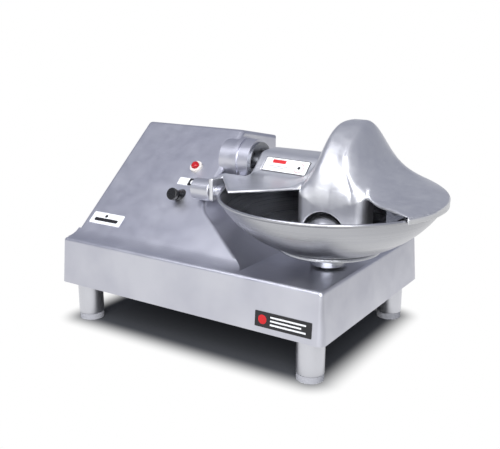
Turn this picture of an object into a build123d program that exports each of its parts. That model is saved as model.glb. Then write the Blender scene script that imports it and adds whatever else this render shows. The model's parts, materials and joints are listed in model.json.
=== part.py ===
from build123d import *
import os
from math import asin, atan2, cos, hypot, pi, radians, sin, sqrt, tan

# Bench bowl cutter with a 14 inch bowl. Millimetres, +Z up.
# The model is drawn from the front left corner of the base's footprint on the floor:
# X runs right along the front edge, Y to the back. Each piece is moved at the end so
# that the origin lies on the floor below the middle of the whole machine's box.

# Base box of the housing casting
base_width = 542.0
base_depth = 380.0
base_height = 83.0
base_draft = 4.3
base_corner = 11.0
base_edge = 6.0
casting_wall = 6.0

# Legs and feet
leg_inset_x = 38.4
leg_inset_y = 35.4
leg_radius = 22.6
leg_height = 61.0
foot_height = 11.0
foot_radius = 22.0
foot_edge = 3.0
leg_bolt_radius = 4.0
leg_bolt_length = 30.0
leg_boss_radius = 18.0

# Bottom cover plate
bottom_plate = 3.0
bottom_gap = 0.8
bottom_screw_radius = 2.5
bottom_screw_length = 12.0

# Motor housing on the base
panel_angle = 40.4
panel_foot_y = 32.6
panel_foot_round = 43.0
house_left = 6.8
house_right = 239.0
house_top = 340.8
house_back_top = 317.0
house_back_gap = 9.0
house_edge = 9.0
panel_edge = 9.0
flare_top = 222.0
flare_reach = 141.0
flare_round = 34.0

# Knife shaft, its boss and its nose sleeve
knife_y = 217.0
knife_z = 292.0
shaft_radius = 10.0
boss_radius = 40.0
boss_start = 262.0
boss_end = 293.0
boss_step = 2.5
nose_radius = 16.0
nose_end = 412.0
rear_bearing_radius = 21.0
rear_bearing_width = 12.0
bush_radius = 13.0
bush_length = 18.0
seal_width = 5.0
shaft_end = 512.0
running_gap = 0.05
fit_gap = 0.02
seat_gap = 0.3

# Bowl
bowl_x = 482.2
bowl_y = 128.3
bowl_radius = 177.8
rim_z = 267.0
rim_bead = 2.4
bowl_foot_radius = 80.0
bowl_floor_z = 190.0
bowl_curve = 168.0
bowl_wall = 3.0
cone_radius = 38.0
cone_top_radius = 15.0
cone_top_z = 240.0

# Bowl carrier and spindle
carrier_radius = 84.0
carrier_plate = 6.0
hub_radius = 30.0
hub_gap = 4.0
spindle_radius = 12.5
spindle_bearing_radius = 23.5
spindle_bearing_width = 12.0
spindle_top_z = 226.0

# Knives
knife_radius = 74.0
knife_thickness = 4.0
knife_pitch = 16.0
knife_hub_radius = 16.0
nut_radius = 16.0
nut_length = 14.0

# Worm gear that turns the bowl
gear_module = 1.9
wheel_teeth = 40
wheel_width = 8.0
wheel_z = 112.0
worm_radius = 12.0
worm_turns = 6
thread_width = 2.2
worm_shaft_radius = 7.5
worm_bearing_radius = 16.0
worm_bearing_width = 9.0
case_wall = 5.0
case_left_reach = 60.0
case_right_reach = 47.0
case_front_margin = 10.0
case_back_margin = 24.0

# Ribs in the base and the motor mount on them
rib_x = (60.0, 190.0)
rib_thickness = 8.0
rib_top = 110.0
mount_plate = 6.0
mount_half_depth = 60.0

# Motor and belts
motor_y = base_depth - 110.0
motor_z = 195.0
motor_radius = 68.0
motor_start = 44.0
motor_end = 216.0
bell_length = 24.0
motor_shaft_radius = 8.0
knife_pulley_radius = 19.0
worm_pinion_radius = 14.0
worm_pulley_radius = 28.0
flange_height = 4.0
flange_width = 1.5
belt_width = 12.0
belt_thickness = 2.2
worm_belt_x = 231.0
knife_belt_x = 259.0
belt_case_radius = 36.0

# Cover
cover_wall = 4.5
cover_rim_gap = 4.0
cover_overhang = 5.0
cover_lip = 0.6
cover_left = 306.0
box_top = 315.5
box_front = 169.0
box_slope = 33.0
box_skew = 0.1
box_back = 262.0
box_end = 430.0
dome_top = 378.0
dome_left_x = 477.0
dome_right_x = 484.0
dome_left_spread = 64.0
dome_right_spread = 56.0
dome_front_y = 222.0
dome_back_y = 232.0
dome_front_depth = 122.0
dome_back_depth = 85.0
dome_fullness = 2.4
skirt_angle = -27.5
lip_left_x = 350.0
lip_left_y = 35.0
guard_y = 106.0
guard_left = 431.0
guard_right = 551.0
guard_corner = 26.0
guard_depth = 36.0
guard_bottom_gap = 7.0
arch_half = 38.0
arch_top = 247.0

# Cover hinge behind the bowl
hinge_y = 330.0
hinge_z = 262.0
hinge_pin_radius = 6.0
hinge_left = 318.0
hinge_right = 400.0
hinge_post = 12.0
hinge_lug = 13.0
hinge_eye_radius = 13.0
hinge_side_gap = 0.5

# Cover clamp
clamp_y = 116.0
clamp_z = 253.0
knob_radius = 19.0
knob_length = 38.0
clamp_face_x = 265.0
lug_thickness = 8.4
lug_half = 16.0
lug_bottom_z = 239.0
lug_back_y = 150.0
slot_half = 6.5
stud_radius = 5.0
stud_in_knob = 28.0
arm_thickness = 12.0

# Scraper under the skirt
scraper_x = 598.0
scraper_y = 114.0
scraper_width = 28.0
scraper_thickness = 3.0
scraper_bottom_z = 238.0
scraper_top_z = 272.0
scraper_screw_radius = 2.5
scraper_screw_z = 262.0
scraper_pad = 8.0

# Controls on the sloping panel, measured from the left wall and up the slope
lamp_x = 184.0
lamp_up = 187.0
lamp_bezel_radius = 12.0
lamp_bezel_height = 5.0
lamp_lens_radius = 7.5
lamp_lens_height = 11.0
lamp_body_radius = 9.0
lamp_body_length = 26.0
switch_x = 183.0
switch_up = 119.0
switch_rise = 20.9
switch_collar_radius = 14.0
switch_collar_top_radius = 8.0
switch_collar_height = 10.0
switch_thread_radius = 7.0
switch_stem_radius = 4.0
switch_knob_radius = 11.0
switch_knob_start = 16.0
switch_knob_end = 24.0
switch_body_width = 28.0
switch_body_start = 15.0
switch_body_end = 40.0
on_off_x = 184.0
on_off_up = 152.3
on_off_width = 42.7
on_off_height = 16.4
badge_x = 58.4
badge_up = 43.7
badge_width = 73.5
badge_height = 25.0
front_plate_x = base_width - 69.0
front_plate_z = 94.0
front_plate_width = 99.0
front_plate_height = 25.0
label_width = 92.0
label_height = 28.0
label_x = 370.0
plate_thickness = 0.8
gland_radius = 11.0
gland_bore = 5.0
gland_length = 16.0
gland_thread_radius = 8.0
gland_x = 120.0
gland_drop = 38.0
gland_pad = 1.2

# Levels and points that follow from the sizes above
leg_top = foot_height + leg_height
deck_z = leg_top + base_height
deck_inset = base_height * tan(radians(base_draft))
house_back = base_depth - house_back_gap
panel_slope = tan(radians(panel_angle))
wheel_radius = gear_module * wheel_teeth / 2
worm_y = bowl_y + wheel_radius + worm_radius
rim_outer = bowl_radius + cover_overhang
brim_z = rim_z + rim_bead + cover_rim_gap
bottom_z = leg_top + bottom_plate
pulley_width = belt_width + 2 * flange_width
belt_clear = 0.3
apron_z = brim_z + cover_lip + cover_wall
hinge_inner_left = hinge_left + hinge_post + hinge_side_gap
hinge_inner_right = hinge_right - hinge_post - hinge_side_gap
arm_x = clamp_face_x + lug_thickness + 2 * seat_gap
gland_z = deck_z - gland_drop
gland_y = base_depth - (gland_z - leg_top) * tan(radians(base_draft)) + gland_pad

pieces = {}


def along_x(radius, start, end, y, z):
    """Round bar along X."""
    turned = Plane(origin=(start, y, z), z_dir=(1, 0, 0))
    return extrude(turned * Circle(radius), amount=end - start)


def along_z(radius, bottom, top, x, y):
    """Round bar along Z."""
    return extrude(Plane(origin=(x, y, bottom)) * Circle(radius), amount=top - bottom)


def ring_x(outer, inner, start, end, y, z):
    """Ring or tube along X."""
    return along_x(outer, start, end, y, z) - along_x(inner, start - 1, end + 1, y, z)


def block(x0, x1, y0, y1, z0, z1):
    """Box between two corners."""
    return Pos((x0 + x1) / 2, (y0 + y1) / 2, (z0 + z1) / 2) * Box(x1 - x0, y1 - y0, z1 - z0)


def side_profile(points, start, end):
    """Closed outline in the YZ plane, drawn out along X."""
    face = make_face(Polyline(*[(start, y, z) for y, z in points], close=True))
    return extrude(face, amount=end - start, dir=(1, 0, 0))


def front_profile(points, start, end):
    """Closed outline in the XZ plane, drawn out along Y."""
    face = make_face(Polyline(*[(x, start, z) for x, z in points], close=True))
    return extrude(face, amount=end - start, dir=(0, 1, 0))


def hull_x(circles, start, end):
    """Belt-shaped outline around circles (y, z, radius) in the YZ plane, drawn along X."""
    plane = Plane(origin=(start, 0, 0), x_dir=(0, 1, 0), z_dir=(1, 0, 0))
    edges = [e for y, z, r in circles for e in (Pos(y, z) * Circle(r)).edges()]
    return extrude(plane * make_hull(edges), amount=end - start)


def panel_plane(x, up, lift=0.0):
    """Plane on the sloping panel; its Z points straight out of the panel."""
    angle = radians(panel_angle)
    out = (0, -sin(angle), cos(angle))
    y = panel_foot_y + up * cos(angle) + lift * out[1]
    z = deck_z + up * sin(angle) + lift * out[2]
    return Plane(origin=(x, y, z), x_dir=(1, 0, 0), z_dir=out)


# Housing casting

def base_box(inset, bottom, top):
    """Drafted box of the base, moved inwards by inset at its bottom edge level."""
    outline = RectangleRounded(base_width - 2 * inset, base_depth - 2 * inset,
                               max(base_corner - inset, 2.0))
    placed = Plane(origin=(base_width / 2, base_depth / 2, bottom)) * outline
    return extrude(placed, amount=top - bottom, taper=base_draft)


def wedge_front(inset, bottom):
    """Front outline of the wedge with its flared foot on the right, drawn through the whole depth."""
    left = house_left + inset
    right = house_right - inset
    top = house_top - inset
    lean = flare_reach / (flare_top - deck_z)
    turn_z = flare_top - inset * 0.5
    foot = right + (turn_z - bottom) * lean
    front = [(left, bottom), (left, top), (right, top), (right, turn_z), (foot, bottom)]
    wide = front_profile(front, 0, base_depth)
    corner = [e for e in wide.edges().filter_by(Axis.Y)
              if abs(e.center().X - right) < 1 and abs(e.center().Z - turn_z) < 1]
    return fillet(corner, flare_round)


def motor_form(inset, bottom):
    """Wedge over the motor: front outline crossed with side outline."""
    shift = inset / sin(radians(panel_angle))
    foot_y = panel_foot_y + shift + (bottom - deck_z) / panel_slope
    top = house_top - inset
    ridge_y = panel_foot_y + shift + (top - deck_z) / panel_slope
    back = house_back - inset
    side = side_profile([(foot_y, bottom), (ridge_y, top), (back, house_back_top - inset), (back, bottom)],
                        0, base_width)
    return wedge_front(inset, bottom) & side


def panel_foot():
    """Hollow rounding between the deck and the sloping panel."""
    reach = panel_foot_round * tan(radians(panel_angle) / 2)
    centre_y = panel_foot_y - reach
    centre_z = deck_z + panel_foot_round
    bottom = deck_z - casting_wall
    points = [(centre_y + 60, bottom), (centre_y, bottom)]
    for i in range(9):
        angle = radians(panel_angle) * i / 8
        points.append((centre_y + panel_foot_round * sin(angle), centre_z - panel_foot_round * cos(angle)))
    return side_profile(points, 0, base_width) & wedge_front(0, bottom)


def housing_outer():
    """Base, wedge, shaft boss, belt case and clamp arm, all one casting."""
    base = base_box(0, leg_top, deck_z)
    base = fillet(base.edges().group_by(Axis.Z)[-1], base_edge)
    wedge = motor_form(0, deck_z - casting_wall)
    ridge = wedge.edges().filter_by(Axis.X).group_by(Axis.Z)[-1]
    wedge = fillet(ridge, house_edge)
    side_edges = [e for e in wedge.edges() if abs(e.center().X - house_right) < 0.5
                  and e.center().Z > flare_top + flare_round / 2]
    left_edges = [e for e in wedge.edges() if abs(e.center().X - house_left) < 0.5
                  and e.center().Z > deck_z + 5]
    wedge = fillet(side_edges + left_edges, panel_edge)
    return base + wedge + panel_foot() + shaft_boss() + belt_case(0) + clamp_arm() + hinge_posts()


def shaft_boss():
    """Bell-shaped neck from the wedge's right wall to the round boss and nose sleeve."""
    root = Plane(origin=(house_right - 8, knife_y + 35, knife_z - 8), z_dir=(1, 0, 0))
    tip = Plane(origin=(boss_start, knife_y, knife_z), z_dir=(1, 0, 0))
    neck = loft([root * Circle(boss_radius + 2), tip * Circle(boss_radius)])
    drum = along_x(boss_radius, boss_start, boss_end, knife_y, knife_z)
    step = along_x(boss_radius + boss_step, boss_start, boss_start + 8, knife_y, knife_z)
    return neck + drum + step


def belt_case(inset):
    """Bulge on the right wall round the knife belt."""
    circles = [(knife_y, knife_z, belt_case_radius - inset),
               (motor_y, motor_z, belt_case_radius - inset)]
    end = knife_belt_x + pulley_width + 2 + casting_wall - inset
    return hull_x(circles, house_right - casting_wall - 4, end)


def clamp_arm():
    """Arm under the boss that carries the cover clamp's stud."""
    circles = [(clamp_y, clamp_z, arm_thickness - 1), (knife_y - 10, knife_z - 30, arm_thickness + 1)]
    return hull_x(circles, arm_x, arm_x + arm_thickness)


def hinge_posts():
    """Two upright posts behind the bowl that hold the cover's hinge pin."""
    foot_z = deck_z + 5
    circles = [(hinge_y, hinge_z, hinge_eye_radius), (hinge_y - 20, foot_z, 8), (hinge_y + 20, foot_z, 8)]
    left = hull_x(circles, hinge_left, hinge_left + hinge_post)
    return left + hull_x(circles, hinge_right - hinge_post, hinge_right)


def housing_inner():
    """Space inside the casting."""
    base = base_box(casting_wall, leg_top - 1, deck_z - casting_wall)
    wedge = motor_form(casting_wall, deck_z - 2 * casting_wall)
    return base + wedge + belt_case(casting_wall)


def leg_places():
    """Centres of the legs by name."""
    right = base_width - leg_inset_x
    back = base_depth - leg_inset_y
    return {"front_left": (leg_inset_x, leg_inset_y), "front_right": (right, leg_inset_y),
            "back_left": (leg_inset_x, back), "back_right": (right, back)}


def make_housing():
    """Cast shell with its ribs, bosses and bores."""
    shell = housing_outer() - housing_inner()
    for x, y in leg_places().values():
        shell += along_z(leg_boss_radius, leg_top, deck_z - casting_wall + 1, x, y)
    for x in rib_x:
        shell += block(x - rib_thickness / 2, x + rib_thickness / 2, casting_wall - 1,
                       base_depth - casting_wall + 1, bottom_z + seat_gap, rib_top)
    upper = deck_z - casting_wall - spindle_bearing_width
    shell += along_z(spindle_bearing_radius + 7, upper, deck_z, bowl_x, bowl_y)
    shell -= along_z(spindle_bearing_radius + fit_gap, upper - 1, deck_z + 1, bowl_x, bowl_y)
    web_start = rear_bearing_x() - 4
    shell += along_x(belt_case_radius - 1, web_start, boss_end, knife_y, knife_z)
    shell -= along_x(rear_bearing_radius + fit_gap, rear_bearing_x(), boss_end + 1, knife_y, knife_z)
    shell -= along_x(shaft_radius + 4, web_start - 1, boss_end, knife_y, knife_z)
    for x, y in leg_places().values():
        shell -= along_z(leg_bolt_radius + fit_gap, leg_top - 1, leg_top + leg_bolt_length + 6, x, y)
    for x, y in bottom_screw_places():
        shell += along_z(7, bottom_z, bottom_z + 16, x, y)
        shell -= along_z(bottom_screw_radius + fit_gap, bottom_z - 1, bottom_z + 13, x, y)
    for x, y in mount_screw_places():
        shell -= along_z(3 + fit_gap, rib_top - 14, rib_top + 1, x, y)
    shell -= panel_bores()
    pad = Plane(origin=(gland_x, gland_y, gland_z), z_dir=(0, -1, 0))
    shell += extrude(pad * Circle(gland_radius + 2), amount=casting_wall)
    shell -= gland_hole(gland_thread_radius + fit_gap)
    shell -= along_x(stud_radius + fit_gap, arm_x - 1, arm_x + arm_thickness + 1, clamp_y, clamp_z)
    shell -= along_x(hinge_pin_radius + fit_gap, hinge_left - 1, hinge_right + 1, hinge_y, hinge_z)
    return shell


def rear_bearing_x():
    """Left face of the rear ball bearing, behind the knife pulley."""
    return boss_end - rear_bearing_width - 2


def bottom_screw_places():
    """Screws of the bottom cover, one along each edge."""
    margin = casting_wall + 5
    middle = base_width / 2
    side_y = base_depth * 0.62
    return [(middle, margin), (middle, base_depth - margin),
            (margin, side_y), (base_width - margin, side_y)]


def mount_screw_places():
    """Screws that hold the motor mount on the ribs."""
    return [(x, motor_y + side * (mount_half_depth - 10)) for x in rib_x for side in (-1, 1)]


def panel_bores():
    """Holes in the panel for the lamp and the switch."""
    lamp = extrude(panel_plane(lamp_x, lamp_up, 5) * Circle(lamp_body_radius + fit_gap), amount=-30)
    return lamp + switch_bar(switch_thread_radius + fit_gap, -30, 20)


def switch_bar(radius, start, end, end_radius=None):
    """Round bar or cone along the switch's own axis, measured outwards from the panel."""
    angle = radians(switch_rise)
    out = (0, -cos(angle), sin(angle))
    foot = panel_plane(switch_x, switch_up).origin
    low = Plane(origin=foot + Vector(*out) * start, x_dir=(1, 0, 0), z_dir=out)
    if end_radius is None:
        return extrude(low * Circle(radius), amount=end - start)
    high = Plane(origin=foot + Vector(*out) * end, x_dir=(1, 0, 0), z_dir=out)
    return loft([low * Circle(radius), high * Circle(end_radius)])


def gland_hole(radius):
    """Bar along Y through the back wall."""
    start = Plane(origin=(gland_x, gland_y - 20, gland_z), z_dir=(0, 1, 0))
    return extrude(start * Circle(radius), amount=40)


def make_base_parts():
    """Legs, feet, bottom cover and their fasteners."""
    inset = casting_wall + bottom_gap
    plate = Pos(base_width / 2, base_depth / 2) * RectangleRounded(base_width - 2 * inset,
                                                                   base_depth - 2 * inset, base_corner)
    feet = []
    bolts = []
    for name, (x, y) in leg_places().items():
        leg = along_z(leg_radius, foot_height, leg_top, x, y)
        leg = fillet(leg.edges().group_by(Axis.Z)[0], 1.0)
        leg -= along_z(leg_bolt_radius + fit_gap, foot_height - 1, leg_top + 1, x, y)
        leg -= along_z(leg_bolt_radius + 4, foot_height - 1, foot_height + 12, x, y)
        pieces["leg_" + name] = leg
        foot = along_z(foot_radius, 0, foot_height, x, y)
        foot = fillet(foot.edges().group_by(Axis.Z)[0], foot_edge)
        foot -= along_z(leg_bolt_radius + 5, 4, foot_height + 1, x, y)
        feet.append(foot)
        bolt = along_z(leg_bolt_radius, foot_height + 12 - fit_gap, leg_top + leg_bolt_length, x, y)
        bolts.append(bolt + along_z(leg_bolt_radius + 3, foot_height + 5, foot_height + 12, x, y))
        plate -= Pos(x, y) * Circle(leg_boss_radius + 1)
    pieces["feet"] = Compound(children=feet)
    pieces["leg_bolts"] = Compound(children=bolts)
    screws = []
    for x, y in bottom_screw_places():
        plate -= Pos(x, y) * Circle(bottom_screw_radius + seat_gap)
        shank = along_z(bottom_screw_radius, leg_top - 0.5, leg_top + bottom_screw_length, x, y)
        screws.append(shank + along_z(4.5, leg_top - 3, leg_top, x, y))
    pieces["bottom_cover"] = extrude(Pos(0, 0, leg_top) * plate, amount=bottom_plate)
    pieces["bottom_cover_screws"] = Compound(children=screws)


def make_motor():
    """Motor shell, end bells, rotor and its mount."""
    y, z = motor_y, motor_z
    front_bell = motor_end - bell_length
    back_bell = motor_start + bell_length
    pieces["motor_shell"] = ring_x(motor_radius, motor_radius - 5, back_bell, front_bell, y, z)
    bearing = 17.5
    races = []
    for name, outer, inner in (("motor_front_bell", motor_end, front_bell),
                               ("motor_back_bell", motor_start, back_bell)):
        low, high = min(outer, inner), max(outer, inner)
        bell = along_x(motor_radius, low, high, y, z)
        rim = [e for e in bell.edges() if abs(e.center().X - outer) < 0.1]
        bell = fillet(rim, 8)
        towards = 1 if inner > outer else -1
        hollow_from = outer + towards * 5
        hollow_to = inner + towards
        bell -= along_x(motor_radius - 6, min(hollow_from, hollow_to), max(hollow_from, hollow_to), y, z)
        seat = (outer, outer + towards * 16)
        bell += along_x(bearing + 5, min(seat), max(seat), y, z)
        bore = (outer + towards * 4, outer + towards * 17)
        bell -= along_x(bearing + fit_gap, min(bore), max(bore), y, z)
        bell -= along_x(motor_shaft_radius + 1.5, low - 1, high + 1, y, z)
        pieces[name] = bell
        race = (outer + towards * 4, outer + towards * 15)
        races.append(ring_x(bearing, motor_shaft_radius + running_gap, min(race), max(race), y, z))
    pieces["motor_bearings"] = Compound(children=races)
    stack = (back_bell + 12, front_bell - 12)
    pieces["motor_stator"] = ring_x(motor_radius - 5 - fit_gap, 41, stack[0], stack[1], y, z)
    rotor = along_x(40, stack[0] + 4, stack[1] - 4, y, z)
    shaft = along_x(motor_shaft_radius, motor_start + 2, knife_belt_x + pulley_width + 1, y, z)
    pieces["motor_rotor"] = rotor + shaft
    hub = ring_x(14, motor_shaft_radius + fit_gap, back_bell - 4, back_bell + 6, y, z)
    blade = block(back_bell - 4, back_bell + 6, y - 1, y + 1, z + 13, z + 52)
    fan = hub
    for i in range(8):
        turn = Pos(0, y, z) * Rot(45 * i, 0, 0) * Pos(0, -y, -z)
        fan += turn * blade
    pieces["motor_fan"] = fan
    make_motor_mount()


def make_motor_mount():
    """Plate on the casting's ribs with two saddles under the motor."""
    y, z = motor_y, motor_z
    plate = block(rib_x[0] - 10, rib_x[1] + 14, y - mount_half_depth, y + mount_half_depth,
                  rib_top, rib_top + mount_plate)
    for x in (rib_x[0] + 28, rib_x[1] - 28):
        plate += block(x - 9, x + 9, y - 45, y + 45, rib_top + mount_plate, z - 48)
    plate -= along_x(motor_radius + fit_gap, motor_start, motor_end, y, z)
    screws = []
    for x, sy in mount_screw_places():
        plate -= along_z(3.3, rib_top - 1, rib_top + mount_plate + 1, x, sy)
        head_z = rib_top + mount_plate
        screws.append(along_z(3, rib_top - 12, head_z + 0.5, x, sy) + along_z(5.5, head_z, head_z + 4, x, sy))
    pieces["motor_mount"] = plate
    pieces["motor_mount_screws"] = Compound(children=screws)


def pulley(radius, bore, start, y, z):
    """Flanged belt pulley whose left face is at start."""
    body = along_x(radius, start, start + pulley_width, y, z)
    for x in (start, start + pulley_width - flange_width):
        body += along_x(radius + flange_height, x, x + flange_width, y, z)
    return body - along_x(bore + fit_gap, start - 1, start + pulley_width + 1, y, z)


def belt(circles, start):
    """Belt round two pulleys, just clear of their rims."""
    left = start + flange_width + belt_clear
    right = start + pulley_width - flange_width - belt_clear
    inner = [(y, z, r + belt_clear) for y, z, r in circles]
    outer = [(y, z, r + belt_clear + belt_thickness) for y, z, r in circles]
    return hull_x(outer, left, right) - hull_x(inner, left - 1, right + 1)


def make_belts():
    """Two belts and four pulleys."""
    shaft = motor_shaft_radius
    pieces["motor_knife_pulley"] = pulley(knife_pulley_radius, shaft, knife_belt_x, motor_y, motor_z)
    pieces["motor_worm_pulley"] = pulley(worm_pinion_radius, shaft, worm_belt_x, motor_y, motor_z)
    pieces["knife_pulley"] = pulley(knife_pulley_radius, shaft_radius, knife_belt_x, knife_y, knife_z)
    pieces["worm_pulley"] = pulley(worm_pulley_radius, worm_shaft_radius, worm_belt_x, worm_y, wheel_z)
    pieces["knife_belt"] = belt([(motor_y, motor_z, knife_pulley_radius),
                                 (knife_y, knife_z, knife_pulley_radius)], knife_belt_x)
    pieces["worm_belt"] = belt([(motor_y, motor_z, worm_pinion_radius),
                                (worm_y, wheel_z, worm_pulley_radius)], worm_belt_x)


def knife_blade(x, turn):
    """Curved blade with a sickle edge and a bevel, on its round hub."""
    face = Plane(origin=(x, knife_y, knife_z), x_dir=(0, 1, 0), z_dir=(1, 0, 0))
    reach = knife_radius
    root = knife_hub_radius * 0.7
    outer = ThreePointArc((root, -root), (reach * 0.80, -reach * 0.30), (reach * 0.80, reach * 0.60))
    inner = ThreePointArc((reach * 0.80, reach * 0.60), (reach * 0.42, reach * 0.30), (-root * 0.4, root))
    closing = Line((-root * 0.4, root), (root, -root))
    blade = make_face([outer, inner, closing])
    hub = Circle(knife_hub_radius)
    shape = Rot(0, 0, turn) * (blade + hub)
    solid = extrude(face * shape, amount=knife_thickness)
    disc = along_x(knife_radius, x, x + knife_thickness, knife_y, knife_z)
    return (solid & disc) - along_x(shaft_radius + fit_gap, x - 1, x + knife_thickness + 1, knife_y, knife_z)


def make_knife_shaft():
    """Knife shaft with its bearings, sleeve, knives and nut."""
    y, z = knife_y, knife_z
    first = bowl_x - knife_pitch / 2 - knife_thickness / 2
    second = first + knife_pitch
    pieces["knife_shaft"] = along_x(shaft_radius, knife_belt_x - 1, shaft_end, y, z)
    bearing_x = rear_bearing_x()
    pieces["knife_shaft_rear_bearing"] = ring_x(rear_bearing_radius, shaft_radius + running_gap,
                                                bearing_x, bearing_x + rear_bearing_width, y, z)
    flange = bearing_x + rear_bearing_width
    sleeve = along_x(nose_radius, flange, nose_end, y, z)
    sleeve += along_x(rear_bearing_radius, flange, boss_end, y, z)
    sleeve += along_x(boss_radius - 5, boss_end, boss_end + 4, y, z)
    sleeve -= along_x(shaft_radius + 1, flange - 1, nose_end + 1, y, z)
    seat = nose_end - seal_width - bush_length
    sleeve -= along_x(bush_radius + fit_gap, seat, nose_end + 1, y, z)
    pieces["knife_shaft_sleeve"] = sleeve
    pieces["knife_shaft_front_bush"] = ring_x(bush_radius, shaft_radius + running_gap,
                                              seat, nose_end - seal_width, y, z)
    pieces["knife_shaft_seal"] = ring_x(bush_radius, shaft_radius + running_gap,
                                        nose_end - seal_width, nose_end, y, z)
    collar = ring_x(knife_hub_radius, shaft_radius + fit_gap, nose_end + 2, first, y, z)
    pieces["knife_collar"] = collar
    pieces["knife_left"] = knife_blade(first, 90)
    pieces["knife_spacer"] = ring_x(knife_hub_radius, shaft_radius + fit_gap,
                                    first + knife_thickness, second, y, z)
    pieces["knife_right"] = knife_blade(second, -90)
    start = second + knife_thickness
    nut = Plane(origin=(start, y, z), z_dir=(1, 0, 0)) * RegularPolygon(nut_radius, 6)
    nut = extrude(nut, amount=nut_length)
    pieces["knife_nut"] = nut - along_x(shaft_radius + fit_gap, start - 1, start + nut_length + 1, y, z)


def wheel_outline():
    """Toothed outline of the worm wheel, with a gap facing the worm."""
    pitch = 2 * pi / wheel_teeth
    tip = wheel_radius + gear_module * 0.9
    root = wheel_radius - gear_module * 1.2
    half_tip = thread_width * 0.24 / wheel_radius
    half_root = thread_width * 0.78 / wheel_radius
    points = []
    for i in range(wheel_teeth):
        middle = pi / 2 + (i + 0.5) * pitch
        for radius, angle in ((root, -half_root), (tip, -half_tip), (tip, half_tip), (root, half_root)):
            points.append((radius * cos(middle + angle), radius * sin(middle + angle)))
    return make_face(Polyline(*points, close=True))


def worm_thread():
    """Right-hand thread round the worm, one crest level with the wheel's middle."""
    pitch = pi * gear_module
    length = worm_turns * pitch
    start = bowl_x - length / 2
    root = worm_radius - gear_module * 1.25
    crest = worm_radius + gear_module * 0.9
    middle = (root + crest) / 2
    path = Helix(pitch, length, middle, direction=(0, 0, 1))
    low = (root - 0.6 - middle, thread_width * 0.80)
    high = (crest - middle, thread_width * 0.26)
    at = path @ 0
    section = Plane(origin=at, x_dir=(1, 0, 0), z_dir=path % 0)
    outline = Polyline((low[0], -low[1]), (high[0], -high[1]), (high[0], high[1]), (low[0], low[1]),
                       close=True)
    thread = sweep(section * make_face(outline), path=path, is_frenet=True)
    lay_down = Plane(origin=(start, worm_y, wheel_z), x_dir=(0, -1, 0), z_dir=(1, 0, 0))
    return lay_down.location * thread


def make_worm_drive():
    """Worm shaft, worm wheel, spindle, gear case and their bearings."""
    case_left = bowl_x - case_left_reach
    case_right = bowl_x + case_right_reach
    worm = along_x(worm_shaft_radius, worm_belt_x - 1, case_right - 1, worm_y, wheel_z)
    core = worm_radius - gear_module * 1.25
    half = worm_turns * pi * gear_module / 2 + 5
    worm += along_x(core, bowl_x - half, bowl_x + half, worm_y, wheel_z)
    pieces["worm_shaft"] = worm + worm_thread()
    wheel = extrude(Plane(origin=(bowl_x, bowl_y, wheel_z - wheel_width / 2)) * wheel_outline(),
                    amount=wheel_width)
    wheel += along_z(22, wheel_z - wheel_width / 2 - 3, wheel_z + wheel_width / 2 + 3, bowl_x, bowl_y)
    pieces["worm_wheel"] = wheel - along_z(spindle_radius + fit_gap, 0, deck_z, bowl_x, bowl_y)
    make_gear_case(case_left, case_right)
    pieces["worm_bearings"] = Compound(children=[
        ring_x(worm_bearing_radius, worm_shaft_radius + running_gap, x, x + worm_bearing_width, worm_y, wheel_z)
        for x in (case_left, case_right - worm_bearing_width)])
    make_pillow_block()


def make_gear_case(left, right):
    """Open-topped case under the deck, with seats for three bearings."""
    front = bowl_y - wheel_radius - case_front_margin
    back = worm_y + case_back_margin
    floor = bottom_z + 8
    top = deck_z - casting_wall
    case = block(left, right, front, back, floor, top)
    case -= block(left + case_wall, right - case_wall, front + case_wall, back - case_wall,
                  floor + case_wall, top + 1)
    seat_top = floor + spindle_bearing_width + 3
    case += along_z(spindle_bearing_radius + 5, floor, seat_top, bowl_x, bowl_y)
    case -= along_z(spindle_bearing_radius + fit_gap, floor + 3, seat_top + 1, bowl_x, bowl_y)
    upper = deck_z - casting_wall - spindle_bearing_width
    case -= along_z(spindle_bearing_radius + 8, upper - 1, top + 1, bowl_x, bowl_y)
    for x0, x1 in ((left, left + worm_bearing_width + 3), (right - worm_bearing_width - 3, right)):
        case += along_x(worm_bearing_radius + 5, x0, x1, worm_y, wheel_z)
    for x0, x1 in ((left - 1, left + worm_bearing_width), (right - worm_bearing_width, right + 1)):
        case -= along_x(worm_bearing_radius + fit_gap, x0, x1, worm_y, wheel_z)
    case -= along_x(worm_shaft_radius + 2, left, right, worm_y, wheel_z)
    pieces["gear_case"] = case
    lower = floor + 3
    pieces["spindle_bearings"] = Compound(children=[
        spindle_ring(level, level + spindle_bearing_width) for level in (lower, upper)])
    pieces["spindle_seal"] = spindle_ring(upper + spindle_bearing_width, deck_z - 1)
    spindle = along_z(spindle_radius, lower, spindle_top_z, bowl_x, bowl_y)
    pieces["bowl_spindle"] = chamfer(spindle.edges().group_by(Axis.Z)[-1], 2)


def spindle_ring(bottom, top):
    """Bearing or seal round the bowl spindle."""
    ring = along_z(spindle_bearing_radius, bottom, top, bowl_x, bowl_y)
    return ring - along_z(spindle_radius + running_gap, bottom - 1, top + 1, bowl_x, bowl_y)


def make_pillow_block():
    """Bearing block under the casting's rib space that steadies the worm shaft near its pulley."""
    x = worm_belt_x + pulley_width + 14
    body = block(x, x + 16, worm_y - 24, worm_y + 24, bottom_z, wheel_z)
    body += along_x(24, x, x + 16, worm_y, wheel_z)
    body -= along_x(worm_shaft_radius + running_gap, x - 1, x + 17, worm_y, wheel_z)
    pieces["worm_pillow_block"] = body


def bowl_curve_centre():
    """Centre, in radius and height, of the arc from foot to rim."""
    dr = bowl_radius - bowl_foot_radius
    dz = rim_z - bowl_floor_z
    chord = hypot(dr, dz)
    lift = sqrt(bowl_curve ** 2 - chord ** 2 / 4)
    middle_r = (bowl_radius + bowl_foot_radius) / 2
    middle_z = (rim_z + bowl_floor_z) / 2
    return middle_r - lift * dz / chord, middle_z + lift * dr / chord


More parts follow.
